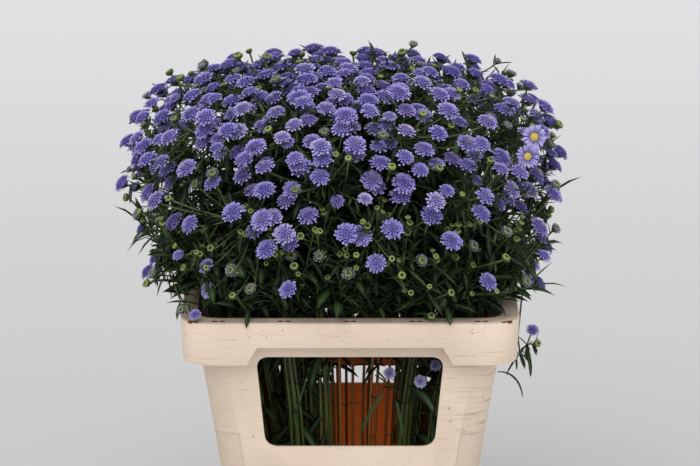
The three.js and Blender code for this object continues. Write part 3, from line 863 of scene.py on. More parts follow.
class Growth:
    """Gathers the small bodies of one piece, in millimetres, and makes its mesh"""

    def __init__(self):
        self.points, self.faces, self.kinds, self.tones, self.sides = [], [], [], [], []
        self.count = 0

    def add(self, points, faces, kind, tones, sides):
        self.points.append(points.reshape(-1, 3))
        for face in faces:
            self.faces += (face + self.count).tolist()
            self.kinds += [kind] * len(face)
        self.tones.append(tones.reshape(-1, 4))
        self.sides.append(sides.reshape(-1))
        self.count += len(self.points[-1])

    def blades(self, rings, tips, kind, tones, tip_tones):
        """Thin closed bodies: rings and tones are (blades, sections, points round, ...), each with a tip"""
        blades, sections, around = rings.shape[:3]
        size = sections * around + 1
        points = np.concatenate([rings.reshape(blades, -1, 3), tips[:, None]], 1)
        cap, last = caps_of(sections, around)
        ends = [(i, j, size - 1) for i, j in zip(last, last[1:] + last[:1])]
        starts = np.arange(blades)[:, None, None] * size
        faces = []
        for group in (walls_between(sections, around), ends, [cap]):
            faces.append((np.array(group)[None] + starts).reshape(-1, len(group[0])))
        sides = np.zeros((blades, size), int)
        sides[:, :-1:around] = LEFT
        sides[:, 2:-1:around] = RIGHT
        sides[:, -1] = TIP
        full = np.concatenate([tones.reshape(blades, -1, 4), tip_tones[:, None]], 1)
        self.add(points, faces, kind, full, sides)

    def rounds(self, rings, kind, tones):
        """A closed body through rings of equal counts"""
        rings = np.array(rings)
        size = rings.shape[:2]
        faces = [np.array(walls_between(*size)), np.array(caps_of(*size))]
        self.add(rings, faces, kind, tones, np.zeros(size[0] * size[1], int))

    def tube(self, path, radii, around, kind, tone, shares=(0, 1)):
        """A stalk through points; shares are what its tone says of its start and end"""
        path = np.array(path)
        side = vec(1, 0, 0)
        rings = []
        turns = TURN * np.arange(around) / around
        for i, point in enumerate(path):
            along = unit(path[min(i + 1, len(path) - 1)] - path[max(i - 1, 0)])
            if abs(side @ along) > 0.95:
                side = vec(0, 1, 0)
            side = unit(side - (side @ along) * along)
            across = np.cross(along, side)
            spokes = np.cos(turns)[:, None] * side + np.sin(turns)[:, None] * across
            rings.append(point + radii[i] * spokes)
        share = np.repeat(np.linspace(*shares, len(path)), around)
        blank = np.zeros(len(share))
        self.rounds(rings, kind, np.stack([np.full(len(share), tone), share, blank, blank], 1))

    def turned(self, centre, normal, profile, around, kind, tone, scallop=0.0):
        """A round body: profile is (radius, height, share, openness) from its underside to its top"""
        u, v = across_of(normal)
        turns = TURN * np.arange(around) / around
        waved = 1 + scallop * np.cos(np.pi * np.arange(around))
        spokes = (np.cos(turns)[:, None] * u + np.sin(turns)[:, None] * v) * waved[:, None]
        rings = [centre + normal * height + spokes * radius for radius, height, _, _ in profile]
        tones = [(tone, share, 0.5, openness) for _, _, share, openness in profile]
        self.rounds(rings, kind, np.repeat(np.array(tones), around, axis=0))

    def make(self, name, finishes):
        points = np.concatenate(self.points) * MM
        mesh = bpy.data.meshes.new(name)
        mesh.from_pydata(points.tolist(), [], self.faces)
        for finish in finishes:
            mesh.materials.append(finish)
        mesh.polygons.foreach_set("material_index", self.kinds)
        mesh.polygons.foreach_set("use_smooth", [True] * len(self.faces))
        tone = mesh.attributes.new("tone", "FLOAT_COLOR", "POINT")
        tone.data.foreach_set("color", np.concatenate(self.tones).astype(np.float32).ravel())
        # the two edges of a blade stay sharp, all the way to its tip
        sides = np.concatenate(self.sides)
        ends = np.zeros(len(mesh.edges) * 2, int)
        mesh.edges.foreach_get("vertices", ends)
        first, second = sides[ends[0::2]], sides[ends[1::2]]
        edge = (first > 0) & (second > 0) & ((first == second) | (first == TIP) | (second == TIP))
        sharp = mesh.attributes.new("sharp_edge", "BOOLEAN", "EDGE")
        sharp.data.foreach_set("value", edge)
        made = bpy.data.objects.new(name, mesh)
        bpy.context.scene.collection.objects.link(made)
        return made


PETAL_FINISH, GREEN_FINISH, EYE_FINISH, STALK_FINISH = 0, 1, 2, 3
RAYS = 102
DEEP_RAYS = 64
FINE_SIZE = 0.9
LOW_SIZE = 0.74
MOSTLY_GREEN_BELOW = 505
OPENED_FROM = 12
LOW_YOUNG_SHARE = 0.38
SMALL_YOUNG_SHARE = 0.7
YOUNG_SHARE = 0.03
LARGEST_YOUNG = 8.5
PALE_SHARE = 0.14
RAY_STEPS = np.array([0.0, 0.78])
RAY_WIDTHS = np.array([0.6, 1.0])


def across_of(normal):
    side = unit(vec(1, 0, 0) - normal[0] * normal)
    return side, np.cross(normal, side)


def along_line(line, t):
    """A place on a line of points, counted in points from its start"""
    return line[int(t)] + (line[int(t) + 1] - line[int(t)]) * (t % 1)


def rays(growth, centre, normal, kind, turn, base, lift, length, width, rise, bend, tone, height):
    """Blunt narrow rays, one for each turn; lengths are in millimetres and rise and bend in radians"""
    u, v = across_of(normal)
    count = len(turn)
    length = length * chance.uniform(0.84, 1.12, count)
    rise = rise + chance.uniform(-0.16, 0.16, count)
    bend = bend + chance.uniform(-0.25, 0.25, count)
    turn = turn + chance.uniform(-0.12, 0.12, count)
    base, lift, width = (np.broadcast_to(value, count) for value in (base, lift, width))
    out = np.cos(turn)[:, None] * u + np.sin(turn)[:, None] * v
    flat = -np.sin(turn)[:, None] * u + np.cos(turn)[:, None] * v
    lean = chance.uniform(-0.45, 0.45, count)[:, None]

    def at(t):
        angle = rise + bend * t / 2
        ahead = out * (base + length * t * np.cos(angle))[:, None]
        return centre + ahead + normal * (lift + length * t * np.sin(angle))[:, None]

    rings = []
    for t, share in zip(RAY_STEPS, RAY_WIDTHS):
        angle = rise + bend * t
        above = -np.sin(angle)[:, None] * out + np.cos(angle)[:, None] * normal
        sideways = flat * np.cos(lean) + above * np.sin(lean)
        middle = at(t)
        half = (width * share / 2)[:, None]
        keel = above * (half * 0.35)
        edge = sideways * half
        rings.append(np.stack([middle + edge + keel, middle - keel, middle - edge + keel], 1))
    single = chance.uniform(0, 1, count)
    tones = np.zeros((count, len(RAY_STEPS), 3, 4))
    tones[..., 0] = tone
    tones[..., 1] = RAY_STEPS[:, None]
    tones[..., 2] = single[:, None, None]
    tones[..., 3] = height
    tip_tones = np.stack([np.full(count, tone), np.ones(count), single, np.full(count, height)], 1)
    growth.blades(np.stack(rings, 1), at(1.0), kind, tones, tip_tones)


def leaf_end(root, heading, length, droop):
    """Where a leaf that arches down from its root has its tip"""
    heading = unit(heading)
    level_way = unit(vec(heading[0], heading[1], 0))
    pitch = math.asin(clamp(heading[2], -1, 1)) - droop * 0.5
    return root + length * (level_way * math.cos(pitch) + vec(0, 0, math.sin(pitch)))


def leaf(growth, root, heading, length, half, tone, droop=0.5, sections=4):
    """A lance-shaped leaf with a folded midrib, arching away from its root"""
    heading = unit(heading)
    across = np.cross(heading, vec(0, 0, 1))
    across = unit(across) if across @ across > 1e-6 else vec(1, 0, 0)
    twist = chance.uniform(-0.6, 0.6)
    across = unit(across * math.cos(twist) + np.cross(heading, across) * math.sin(twist))
    rings = []
    point = np.array(root, float)
    steps = np.linspace(0, 1, sections + 1)[:-1]
    sag = unit(vec(0, 0, -1) + 0.25 * chance.uniform(-1, 1, 3))
    for t in steps:
        above = np.cross(across, heading)
        wide = max(half * math.sin(math.pi * (0.12 + 0.8 * t)) ** 0.8, 0.35)
        fold = wide * 0.3
        rings.append([point + across * wide + above * fold, point + above * 0.1,
                      point - across * wide + above * fold, point - above * 0.45])
        point = point + heading * (length / sections)
        heading = unit(heading + (sag - (sag @ heading) * heading) * (droop / sections))
        across = unit(across - (across @ heading) * heading)
    order = np.array(rings)[None][:, :, ::-1]
    tones = np.zeros((1, sections, 4, 4))
    tones[..., 0] = tone
    tones[..., 1] = steps[:, None]
    tones[..., 2] = np.array([1.0, 0.0, 1.0, 0.0])
    growth.blades(order, point[None], GREEN_FINISH, tones, np.array([[tone, 1.0, 0.6, 0.0]]))


def stalk_with_leaves(growth, root, under, normal, leaves, leaf_length, tone):
    """A thin stalk that bends up into what it carries"""
    along = under - root
    reach = math.sqrt(along @ along)
    knee = under - normal * (reach * 0.25)
    path = [curved(root, root * 0.35 + knee * 0.65, under, t) for t in np.linspace(0, 1, 5)]
    growth.tube(path, [1.15, 0.95, 0.85, 0.9, 1.25], 4, STALK_FINISH, tone, (0.45, 0.8))
    for _ in range(leaves):
        place = along_line(path, chance.uniform(0.1, 0.95) * 3.999)
        spin = chance.uniform(-1, 1, 3)
        out = unit(spin - (spin @ unit(along)) * unit(along))
        heading = out + unit(along) * chance.uniform(0.3, 1.2)
        length = leaf_length * chance.uniform(0.55, 1.2)
        half = length * chance.uniform(0.075, 0.11)
        leaf(growth, place, heading, length, half, chance.uniform(0, 1), chance.uniform(0.1, 0.8), 3)


def sized(profile, r):
    """A profile that is given for a radius of 1"""
    return [(radius * r, height * r, share, openness) for radius, height, share, openness in profile]


def cup_of_bracts(growth, under, normal, r, tone, bracts=9):
    """The green cup under a bloom, with a ring of small bracts"""
    profile = [(1.2, -1.2, 0.2, 0.1)] + sized(((0.34, 0.05, 0.4, 0.15), (0.46, 0.28, 0.6, 0.2)), r)
    growth.turned(under, normal, profile, 8, GREEN_FINISH, tone, 0.06)
    turn = TURN * np.arange(bracts) / bracts + tone
    reach = (0.22 * r, 0.02 * r, 0.42 * r, 0.15 * r)
    rays(growth, under, normal, GREEN_FINISH, turn, *reach, 0.75, -0.7, tone, 0.25)


def open_bloom(growth, centre, normal, r, tone, pale, count=RAYS):
    """A low cushion of rays, upright in the middle and level at the edge"""
    out = np.sqrt((np.arange(count) + 0.5) / count)
    turn = chance.uniform(0, TURN) + GOLDEN_TURN * np.arange(count)
    crown = chance.uniform(0.26, 0.42)
    eye_size = chance.choice((0.0, 0.17, 0.26, 0.34), p=(0.45, 0.2, 0.2, 0.15))
    lift = crown * r * (1 - out ** 2)
    length = r * (0.2 + 0.22 * out ** 2)
    rise = 1.4 - 1.32 * out ** 1.6
    width = r * (0.12 + 0.065 * out) * math.sqrt(RAYS / count)
    # The core under the rays sits at the start of the rays, so it takes the painted shade of the ray roots
    # and fills the gaps between them.
    core = ((0.3, -0.24), (0.6, -0.06), (0.5, crown * 0.62), (0.22, crown * 0.88), (0.02, crown * 0.92))
    growth.turned(centre, normal, sized([(*point, 0.0, 0.0) for point in core], r), 8, PETAL_FINISH, tone)
    for kind, those, long in ((PETAL_FINISH, out > eye_size, 1.0), (EYE_FINISH, out <= eye_size, 0.7)):
        if those.any():
            wide = width[those] * (0.6 + 0.4 * long)
            reach = (0.62 * r * out[those], lift[those], length[those] * long, wide)
            bend = -0.4 * out[those]
            rays(growth, centre, normal, kind, turn[those], *reach, rise[those], bend, tone, pale)


def single_bloom(growth, centre, normal, r, tone):
    """One flower that has kept its yellow middle, with two rows of long pale rays"""
    middle = ((0.2, -0.16), (0.34, -0.02), (0.3, 0.1), (0.18, 0.16), (0.02, 0.18))
    yellow = sized([(*point, 1.0, 1.0) for point in middle], r)
    growth.turned(centre, normal, yellow, 14, EYE_FINISH, tone, 0.04)
    for count, long, rise in ((20, 0.72, 0.05), (17, 0.62, 0.3)):
        turn = TURN * np.arange(count) / count + long
        reach = (0.28 * r, 0.0, long * r, 0.19 * r)
        rays(growth, centre, normal, PETAL_FINISH, turn, *reach, rise, -0.2, tone, 0.3)


def half_open_bloom(growth, centre, normal, r, tone):
    """A ring of short greyish upright rays round a green cup that is still shut"""
    cup = ((0.3, -0.5, 0.3, 0.2), (0.62, -0.15, 0.5, 0.35), (0.6, 0.2, 0.7, 0.6),
           (0.42, 0.42, 0.9, 0.95), (0.24, 0.3, 0.5, 0.5), (0.04, 0.22, 0.4, 0.4))
    growth.turned(centre, normal, sized(cup, r), 10, GREEN_FINISH, tone, 0.07)
    start = chance.uniform(0, TURN)
    for count, rise, *reach in ((20, 0.75, 0.62, -0.1, 0.46, 0.17), (16, 1.15, 0.55, 0.1, 0.44, 0.15)):
        turn = start + TURN * np.arange(count) / count
        reach = [share * r for share in reach]
        rays(growth, centre, normal, PETAL_FINISH, turn, *reach, rise, 0.35, tone, 1.0)


def bloom(growth, disc, root, under):
    centre, normal = disc.centre, disc.normal
    tone = chance.uniform(0, 1)
    low = centre[2] < MOSTLY_GREEN_BELOW
    small_or_not = SMALL_YOUNG_SHARE if disc.radius < OPENED_FROM else YOUNG_SHARE
    young = chance.uniform() < (LOW_YOUNG_SHARE if low else small_or_not)
    size = LOW_SIZE if low or young else FINE_SIZE
    r = min(disc.radius * size, LARGEST_YOUNG if young else disc.radius)
    deep = disc.node == BETWEEN
    stalk_with_leaves(growth, root, under, normal, 4 if deep else 7, 23, tone)
    cup_of_bracts(growth, under, normal, r, tone, 5 if deep else 9)
    if young:
        half_open_bloom(growth, centre, normal, r, tone)
    else:
        pale = 0.35 if chance.uniform() < PALE_SHARE else 0.0
        open_bloom(growth, centre, normal, r, tone, pale, DEEP_RAYS if deep else RAYS)


def bud(growth, centre, normal, r, root, around=12, leaves=5):
    """A lime-green cup with a paler scalloped rim round a dark middle, on its own stalk"""
    tone = chance.uniform(0, 1)
    opening = chance.uniform(0.25, 0.62)
    stalk_with_leaves(growth, root, centre - normal * (r * BUD_SINK), normal, leaves, 17, tone)
    cup = ((0.28, -0.75, 0.2, 0.25), (0.78, -0.45, 0.4, 0.4), (0.98, 0.05, 0.6, 0.6), (0.9, 0.42, 0.8, 0.85),
           (opening + 0.2, 0.62, 1.0, 1.0), (opening, 0.5, 0.7, 0.7), (opening * 0.6, 0.1, 0.2, 0.1),
           (0.03, 0.02, 0.1, 0.05))
    growth.turned(centre, normal, sized(cup, r), around, GREEN_FINISH, tone, 0.06)
    turn = TURN * np.arange(around - 2) / (around - 2) + tone
    reach = (0.5 * r, 0.0, 1.1 * r, 0.36 * r)
    rays(growth, centre - normal * (0.6 * r), normal, GREEN_FINISH, turn, *reach, 0.95, 0.55, tone, 0.45)


def toned_finish(name):
    """A new finish, and what its tone says: bloom or leaf, place along it, single ray, openness"""
    finish, tree = new_finish(name)
    tone = tree.node("ShaderNodeAttribute", {"attribute_name": "tone"})
    split = tree.node("ShaderNodeSeparateColor", (), {0: tone})
    return finish, tree, split, split.output(1), split.output(2), tone.output("Alpha")


petal_finish, tree, whole, along, single, openness = toned_finish("aster_petal")
blue = whole.over(0.0, 1.0, paint(119, 110, 198), paint(149, 135, 212))
# Ray tips are lighter, more on some rays than on others: painted highlight.
painted_highlight_tips = (along.ramped(0.3, 1.0) * (0.4 + single * 0.5)).blended(blue, paint(184, 176, 230))
# Rays are darker towards their roots, between the rays: painted shade.
painted_shade_at_roots = ((1 - along.ramped(0.0, 0.5)) * 0.66).blended(painted_highlight_tips, paint(72, 62, 142))
paled = openness.over(0.15, 0.5, painted_shade_at_roots, paint(206, 201, 228), 0.55)
greyed = openness.over(0.8, 1.0, paled, paint(158, 153, 168), 0.6)
petal_look = {"Roughness": 0.62, "Specular IOR Level": 0.25, "Sheen Weight": 0.12}
coat_surface(tree, {"Base Color": greyed, **petal_look})

green_finish, tree, whole, along, rib, openness = toned_finish("aster_green")
mottle = tree.noise(tree.place(), 160.0, 3.0)
leafy = (whole * 0.6 + mottle * 0.4).ramped(0.2, 0.8).blended(paint(29, 45, 29), paint(55, 78, 42))
veined = rib.over(0.72, 1.0, leafy, paint(96, 118, 74), 0.45)
edged = along.over(0.8, 1.0, veined, paint(92, 104, 52), 0.3)
budding = openness.over(0.12, 0.6, edged, paint(66, 88, 46))
rimmed = openness.over(0.66, 1.0, budding, paint(146, 158, 88))
relief = tree.bump(mottle + rib * 0.4, 0.3, 0.0006)
green_look = {"Roughness": 0.46 + mottle * 0.2, "Normal": relief, "Specular IOR Level": 0.35}
coat_surface(tree, {"Base Color": rimmed, **green_look})

eye_finish, tree, whole, along, _, openness = toned_finish("aster_eye")
pale = whole.over(0.3, 0.7, paint(182, 178, 210), paint(205, 206, 158))
# Eye rays are darker towards their roots: painted shade in the middle of the bloom.
painted_shade_in_eye = ((1 - along.ramped(0.0, 0.7)) * 0.7).blended(pale, paint(92, 86, 104))
golden = openness.over(0.6, 1.0, painted_shade_in_eye, paint(198, 174, 92))
coat_surface(tree, {"Base Color": golden, "Roughness": 0.6, "Specular IOR Level": 0.25})

stalk_finish, tree, whole, along, _, _ = toned_finish("aster_stalk")
place = tree.place()
fibres = tree.noise(tree.stretched(place, (1.0, 1.0, 0.08)), 520.0, 3.0)
blotches = tree.noise(place, 34.0, 2.0)
low = whole.over(0.0, 1.0, paint(104, 120, 58), paint(134, 140, 78))
high_up = along.over(0.1, 0.6, low, paint(74, 94, 50))
striped = fibres.over(0.45, 0.7, high_up, paint(60, 74, 40), 0.5)
browned = blotches.over(0.6, 0.8, striped, paint(104, 84, 52), 0.4)
inside = 1 - tree.axis("Z").ramped(0.33, 0.42)
shaded = (inside * 0.3).blended(browned, paint(36, 46, 20))
# Stalks in the middle, inside the container, turn orange: painted light from the glowing rear wall.
middle = 1 - tree.math("ABSOLUTE", tree.axis("X") - GLOW_X).ramped(0.03, 0.044)
painted_glow_on_stalks = (inside * middle * 0.8).blended(shaded, paint(150, 80, 30))
coat_surface(tree, {"Base Color": painted_glow_on_stalks, "Roughness": 0.5, "Normal": tree.bump(fibres, 0.3, 0.0005)})

finishes = (petal_finish, green_finish, eye_finish, stalk_finish)
BRANCH_LEAVES = 28
FILLING_LEAVES = 44
FILLING_SPREAD = 54
FILLING_FROM = HEIGHT + 40
ROOT_SHARE = 0.86
TIP_SHARE = 0.93


def dome_share(point):
    """How far out a point lies: 1 is the surface that the outer blooms stand on"""
    off = point - DOME_CENTRE
    down = DOME_UP if off[2] > 0 else DOME_DOWN
    return (np.abs(off / (DOME_HALF_X, DOME_HALF_Y, down)) ** DOME_POWER).sum() ** (1 / DOME_POWER)


for spray in sprays:
    growth = Growth()
    axis = [spray.start] + [spray.bend + (spray.top - spray.bend) * t for t in (0, 0.25, 0.5, 0.75, 1)]
    growth.tube(axis, [2.6, 2.5, 2.3, 2.1, 1.8, 1.2], 6, STALK_FINISH, 0.5, (0.5, 0.8))
    for disc, root, under in spray.blooms:
        bloom(growth, disc, root, under)
    for disc, root, _ in spray.young:
        bud(growth, disc.centre, disc.normal, disc.radius, root, around=10, leaves=3)
    for t in chance.uniform(0, 1, BRANCH_LEAVES):
        place = spray.bend + (spray.top - spray.bend) * t * 0.85
        heading = unit(chance.uniform(-1, 1, 3)) + unit(spray.top - spray.bend) * 0.7
        length = chance.uniform(22, 42)
        leaf(growth, place, heading, length, length * 0.09, chance.uniform(0, 1), 0.5, 3)
    for _ in range(FILLING_LEAVES):
        share = chance.uniform(0.66, 0.9)
        spread = chance.uniform(-FILLING_SPREAD, FILLING_SPREAD, 3)
        place = DOME_CENTRE + (spray.anchor - DOME_CENTRE) * share + spread
        heading = chance.uniform(-1, 1, 3) + vec(0, 0, 0.2)
        length = chance.uniform(30, 54)
        tip = leaf_end(place, heading, length, 0.5)
        if dome_share(place) < ROOT_SHARE and dome_share(tip) < TIP_SHARE and place[2] > FILLING_FROM:
            leaf(growth, place, heading, length, length * 0.1, chance.uniform(0, 1), 0.5, 3)
    head = growth.make("blooms_of_spray_" + spray.number, finishes)
    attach(head, "root")
    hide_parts(spray.purple)

# Stems: firm green stalks as thick as a pencil, pale and bare below, with lance-shaped leaves that
# thicken into a dark bush above the rim, and the round green buds that haven't opened.
CROWN_LEAVES = 74
LOW_LEAVES_EACH = 16
CURTAIN_LEAVES = 11
THIN_STEM = 2.0
FULL_STEM = 3.1
COMPANIONS = ((8.5, 0.7), (9.5, 3.6))
CLEARING_X = (-20, 52)
SLOT_SHOWS = (-12, 36)
LEAF_WIDTH = 0.085
SHOOTS = 120
RIM_SHOOTS = 130
RIM_LEAVES = 340
HANGING_LEAVES = 52
MOUTH_X = 176
MOUTH_Y = 124
MOUTH_POWER = 5
OVER_RIM = HEIGHT + 6
CLEARING_TOP = REAR_WINDOW_BOTTOM + 50
TWO_BUDS_FROM = HEIGHT + 75
JOINT_DROP = vec(0, 0, 26)
SHOOT_LEAVES = 15


def inside_container(point):
    half = body_half_x(point[2]) - WALL - LEDGE_STEP - 5
    return abs(point[0]) < half and abs(point[1]) < half - SIDE_TO_FRONT


def may_hold(root, heading, length, droop):
    """A leaf stays off the rim and the walls, and off the clear place in the window"""
    tip = leaf_end(root, heading, length, droop)
    before_window = max(root[0], tip[0]) > CLEARING_X[0] and min(root[0], tip[0]) < CLEARING_X[1]
    if before_window and min(root[2], tip[2]) < CLEARING_TOP:
        return False
    if tip[2] > OVER_RIM:
        return root[2] > HEIGHT or inside_container(root)
    return inside_container(tip)


def held_leaf(growth, place, heading, lengths, droops, width=LEAF_WIDTH):
    """A leaf of the full bush, if one may hang there"""
    length = chance.uniform(*lengths)
    droop = chance.uniform(*droops)
    if may_hold(place, heading, length, droop):
        leaf(growth, place, heading, length, length * width, chance.uniform(0, 1), droop, 4)


def leaves_along(growth, path, spots, rises, lengths, droops):
    """Leaves that stand all round a stem, at spots counted in its points"""
    for t in spots:
        turn = chance.uniform(0, TURN)
        heading = vec(math.cos(turn), math.sin(turn), chance.uniform(*rises))
        held_leaf(growth, along_line(path, t), heading, lengths, droops)


def mouth_place(turn, share, z):
    """A place over the container's mouth, with share 1 at its edge"""
    wide = (abs(math.cos(turn)) ** MOUTH_POWER + abs(math.sin(turn)) ** MOUTH_POWER) ** (-1 / MOUTH_POWER)
    return vec(MOUTH_X * wide * math.cos(turn) * share, MOUTH_Y * wide * math.sin(turn) * share, z)


necks = np.array([spray.path[3] for spray in sprays])
shoots = {spray.number: [] for spray in sprays}
for i in range(SHOOTS + RIM_SHOOTS):
    turn = TURN * (i + chance.uniform(-0.4, 0.4)) / (SHOOTS if i < SHOOTS else RIM_SHOOTS)
    mouth = mouth_place(turn, chance.uniform(0.72, 1.0), HEIGHT + 10)
    if i < SHOOTS:
        tip = on_dome(direction_of(chance.uniform(-0.5, -0.05), turn + chance.uniform(-0.15, 0.15)))
        tip = tip * chance.uniform(0.74, 0.98) + DOME_CENTRE
    else:
        tip = mouth_place(turn, chance.uniform(0.92, 1.14), HEIGHT + chance.uniform(24, 70))
    spray = sprays[nearest(necks, mouth)]
    shoots[spray.number].append((spray.path[3], mouth, tip))

# leaves that close the mouth round its edge, and leaves that hang before the rear window
loose = {spray.number: [] for spray in sprays}
for i in range(RIM_LEAVES + HANGING_LEAVES):
    if i < RIM_LEAVES:
        turn = TURN * i / RIM_LEAVES
        place = mouth_place(turn, chance.uniform(0.9, 1.1), HEIGHT + chance.uniform(4, 48))
        heading = vec(math.cos(turn), math.sin(turn), 0) * 0.7 + chance.uniform(-0.9, 0.9, 3) + vec(0, 0, 0.5)
        length = chance.uniform(30, 56)
    else:
        across = -98 + 196 * (i - RIM_LEAVES) / HANGING_LEAVES
        open_place = SLOT_SHOWS[0] < across < SLOT_SHOWS[1]
        place = vec(across, chance.uniform(84, 94), chance.uniform(352, 366))
        heading = vec(chance.uniform(-0.3, 0.3), 0.08, -1)
        length = chance.uniform(20, 28) if open_place else chance.uniform(52, 78)
    loose[sprays[nearest(necks, place)].number].append((place, heading, length))


def leafy_shoot(growth, root, bend, tip):
    """A thin side branch, leafy all along, with one or two small green buds near its tip"""
    line = [curved(root, bend, tip, t) for t in np.linspace(0, 1, 7)]
    growth.tube(line, [1.7, 1.6, 1.5, 1.4, 1.2, 1.0, 0.8], 5, STALK_FINISH, chance.uniform(0, 1), (0.4, 0.8))
    for t in chance.uniform(0.25, 1, SHOOT_LEAVES) * 5.999:
        place = along_line(line, t)
        heading = unit(chance.uniform(-1, 1, 3)) + unit(tip - bend) * 0.6
        length = chance.uniform(22, 52)
        droop = chance.uniform(0.1, 0.9)
        if place[2] > HEIGHT - 4 and may_hold(place, heading, length, droop):
            leaf(growth, place, heading, length, length * LEAF_WIDTH, chance.uniform(0, 1), droop, 3)
    for _ in range(1 if tip[2] < TWO_BUDS_FROM else 2):
        out = unit(unit(tip - bend) + chance.uniform(-0.7, 0.7, 3) + vec(0, 0, 0.3))
        at = tip + out * chance.uniform(6, 16)
        bud(growth, at, out, chance.uniform(3.2, 4.8), line[5], around=8, leaves=2)


# what stands apart from the rest: a place, the way it faces, its radius, and what it is
APART = (
    ((47, -86, 324), (0.1, -1, 0.3), 8, "pale"),
    ((84, -96, 317), (0.2, -1, 0.1), 8.5, "pale"),
    ((102, -86, 334), (0.3, -1, 0.4), 7.5, "pale"),
    ((-133, 0, 692), (-0.3, -0.3, 1), 6, "bud"),
    ((-99, 0, 690), (0.1, -0.4, 1), 8, "half"),
    ((75, 0, 706), (0.1, -0.3, 1), 7, "half"),
    ((62, 0, 696), (-0.2, -0.4, 1), 5.5, "bud"),
    ((175, 0, 686), (0.3, -0.2, 1), 6, "half"),
    ((249, 0, 608), (1, -0.2, 0.8), 6, "bud"),
    ((-265, 0, 588), (-1, -0.2, 0.7), 5, "bud"),
    ((-262, -40, 563), (-1, -0.3, 0.6), 5.5, "half"),
    ((-266, -40, 529), (-1, -0.3, 0.3), 5, "bud"),
    ((95, -146, 414), (0.1, -0.7, 1), 5, "bud"),
    ((213, -130, 626), (0.35, -1, 0.3), 16, "single"),
    ((205, -142, 606), (0.3, -1, 0.1), 15, "single"),
    ((-181, -146, 416), (-0.3, -0.6, 0.8), 8, "open"),
    ((-197, -140, 419), (-0.5, -0.5, 0.8), 7, "half"),
)
carriers = [(spray, joint) for spray in sprays for joint in (*spray.path[2:4], spray.path[5], spray.top)]
carrier_places = np.array([joint for _, joint in carriers])
apart_of = {spray.number: [] for spray in sprays}
for place, facing, r, kind in APART:
    place = vec(*place)
    spray, joint = carriers[nearest(carrier_places, place - JOINT_DROP)]
    apart_of[spray.number].append((place, unit(vec(*facing)), r, kind, joint))


def standing_apart(growth, place, facing, r, kind, joint):
    """A bud or a bloom by itself, on its own stalk from the nearest stem"""
    if kind == "bud":
        bud(growth, place, facing, r, joint)
        return
    tone = chance.uniform(0, 1)
    under = place - facing * (0.34 * r)
    stalk_with_leaves(growth, joint, under, facing, 5, 22, tone)
    cup_of_bracts(growth, under, facing, r, tone)
    if kind == "half":
        half_open_bloom(growth, place, facing, r, tone)
    elif kind == "single":
        single_bloom(growth, place, facing, r, tone)
    else:
        open_bloom(growth, place, facing, r, tone, 0.5 if kind == "pale" else 0.0)


# leaves that hang or lie apart: root, heading, length, half width and droop
LEAVES_APART = (
    ((168, -34, 484), (0.75, -0.65, 0.1), 96, 8, 2.0),
    ((128, -106, 440), (1, -0.3, 0.1), 60, 8, 0.9),
    ((140, -110, 424), (0.8, -0.5, 0.25), 54, 7, 1.2),
    ((-118, -118, 422), (-0.1, -1, -0.1), 45, 3.5, 1.0),
    ((112, -120, 420), (0.1, -1, 0.1), 42, 4, 1.1),
    ((34, -122, 418), (0.1, -1, 0.2), 34, 3, 0.8),
    ((84, -78, 316), (0.8, -1, -0.2), 62, 3.6, 0.9),
    ((70, -70, 300), (0.4, -0.6, 0.2), 58, 6, 1.5),
    ((41, -84, 300), (-0.5, 0.02, -0.87), 64, 6.5, 0.2),
    ((55, -84, 288), (0.18, 0.02, -1), 52, 5.5, 0.1),
    ((16, -80, 306), (0.5, 0.02, 0.87), 34, 5.5, 0.3),
    ((30, -76, 318), (0.9, 0.02, -0.6), 46, 4.5, 0.4),
    ((-27, -80, 298), (0.12, 0.02, 1), 56, 5.5, 0.3),
    ((-50, -84, 322), (-0.3, -0.05, -1), 44, 4.0, 0.2),
    ((203, 41, 308), (0.1, -0.1, -1), 22, 2.6, 0.1),
    ((219, 41, 312), (0.1, -0.2, -1), 34, 3.2, 0.1),
    ((181, 34, 286), (1, -0.4, 0.1), 52, 3.4, 2.2),
)
HANGING_SPRIG = (
    vec(150, 100, 420), vec(186, 116, 430), vec(212, 116, 408), vec(214, 108, 362),
    vec(208, 84, 316), vec(210, 60, 302), vec(218, 46, 318), vec(223, 41, 336),
)
carrier_of_sprig = min(sprays, key=lambda spray: abs(spray.path[3] - HANGING_SPRIG[0]).sum())


def hanging_sprig(growth, neck):
    """A thin branch that hangs out over the rim, and turns up to its one bloom and two buds"""
    radii = [1.7, 1.6, 1.5, 1.4, 1.3, 1.2, 1.1, 1.0, 0.9]
    growth.tube((neck,) + HANGING_SPRIG, radii, 6, STALK_FINISH, 0.6, (0.3, 0.8))
    facing = unit(vec(0.2, -0.6, 0.7))
    cup_of_bracts(growth, HANGING_SPRIG[-1], facing, 9, 0.4)
    open_bloom(growth, HANGING_SPRIG[-1] + facing * 3, facing, 9, 0.4, 0.0)
    for place, r in ((vec(230, 40, 321), 5), (vec(218, 40, 306), 4.6)):
        bud(growth, place, unit(vec(0.4, -0.6, 0.3)), r, HANGING_SPRIG[6])
    for place in HANGING_SPRIG[4:7]:
        for turn in chance.uniform(0, TURN, 3):
            heading = vec(math.cos(turn), math.sin(turn), -0.9)
            leaf(growth, place, heading, chance.uniform(22, 36), 2.6, chance.uniform(0, 1), 0.4)


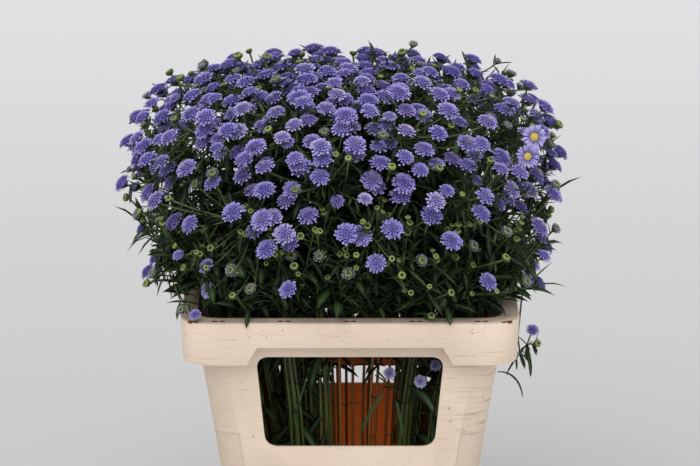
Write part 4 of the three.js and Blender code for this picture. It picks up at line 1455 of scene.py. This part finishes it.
for spray in sprays:
    growth = Growth()
    path = spray.path
    in_clearing = CLEARING_X[0] < path[0][0] < CLEARING_X[1]
    line = [path[0], path[1]]
    for a, b in zip(path[1:-1], path[2:]):
        line += [a + (b - a) * 0.5, b]
    reach = len(line)
    thick = THIN_STEM if in_clearing else FULL_STEM
    radii = [thick - 0.5 * i / reach for i in range(reach)]
    growth.tube(line, radii, 7, STALK_FINISH, chance.uniform(0, 1))
    for apart, spin in () if in_clearing else COMPANIONS:
        spin = spin + chance.uniform(-0.6, 0.6)
        beside = vec(math.cos(spin), math.sin(spin) * 0.7, 0) * apart
        second = [point + beside * (1 - 0.1 * i) for i, point in enumerate(line[:-1])]
        radii = [2.1 - 0.08 * i for i in range(reach - 1)]
        growth.tube(second, radii, 6, STALK_FINISH, chance.uniform(0, 1))
    for disc, root, _ in spray.buds:
        bud(growth, disc.centre, disc.normal, disc.radius, root)
    for root, bend, tip in shoots[spray.number]:
        leafy_shoot(growth, root, bend, tip)
    for place, heading, length in loose[spray.number]:
        if place[2] < HEIGHT or may_hold(place, heading, length, 0.4):
            leaf(growth, place, heading, length, length * 0.11, chance.uniform(0, 1), 0.4, 3)
    for place, facing, r, kind, joint in apart_of[spray.number]:
        standing_apart(growth, place, facing, r, kind, joint)
    for root, middle, half in spray.leaves:
        length = math.sqrt((middle - root) @ (middle - root)) * 2
        leaf(growth, root, middle - root, length, half, chance.uniform(0, 1), 0.7, 7)
    high_up = 3 + 3 * chance.uniform(0, 1, CROWN_LEAVES)
    leaves_along(growth, path, high_up, (-0.1, 1.3), (36, 76), (0.2, 1.1))
    low_down = 1 + chance.uniform(0.35, 2, LOW_LEAVES_EACH)
    leaves_along(growth, path, low_down, (-1.2, 0.8), (30, 64), (0.3, 1.2))
    for t in 1 + chance.uniform(0.7, 2.1, CURTAIN_LEAVES if path[0][1] > 8 else 0):
        heading = vec(chance.uniform(-1, 1), chance.uniform(0.5, 1.3), chance.uniform(-0.5, 0.5))
        held_leaf(growth, along_line(path, t), heading, (38, 66), (0.1, 0.8), 0.12)
    if spray is carrier_of_sprig:
        for root, heading, length, half, droop in LEAVES_APART:
            leaf(growth, vec(*root), vec(*heading), length, half, chance.uniform(0, 1), droop, 8)
        hanging_sprig(growth, path[3])
    stem = growth.make("stem_of_spray_" + spray.number, finishes)
    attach(stem, "root")
    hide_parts(spray.green)
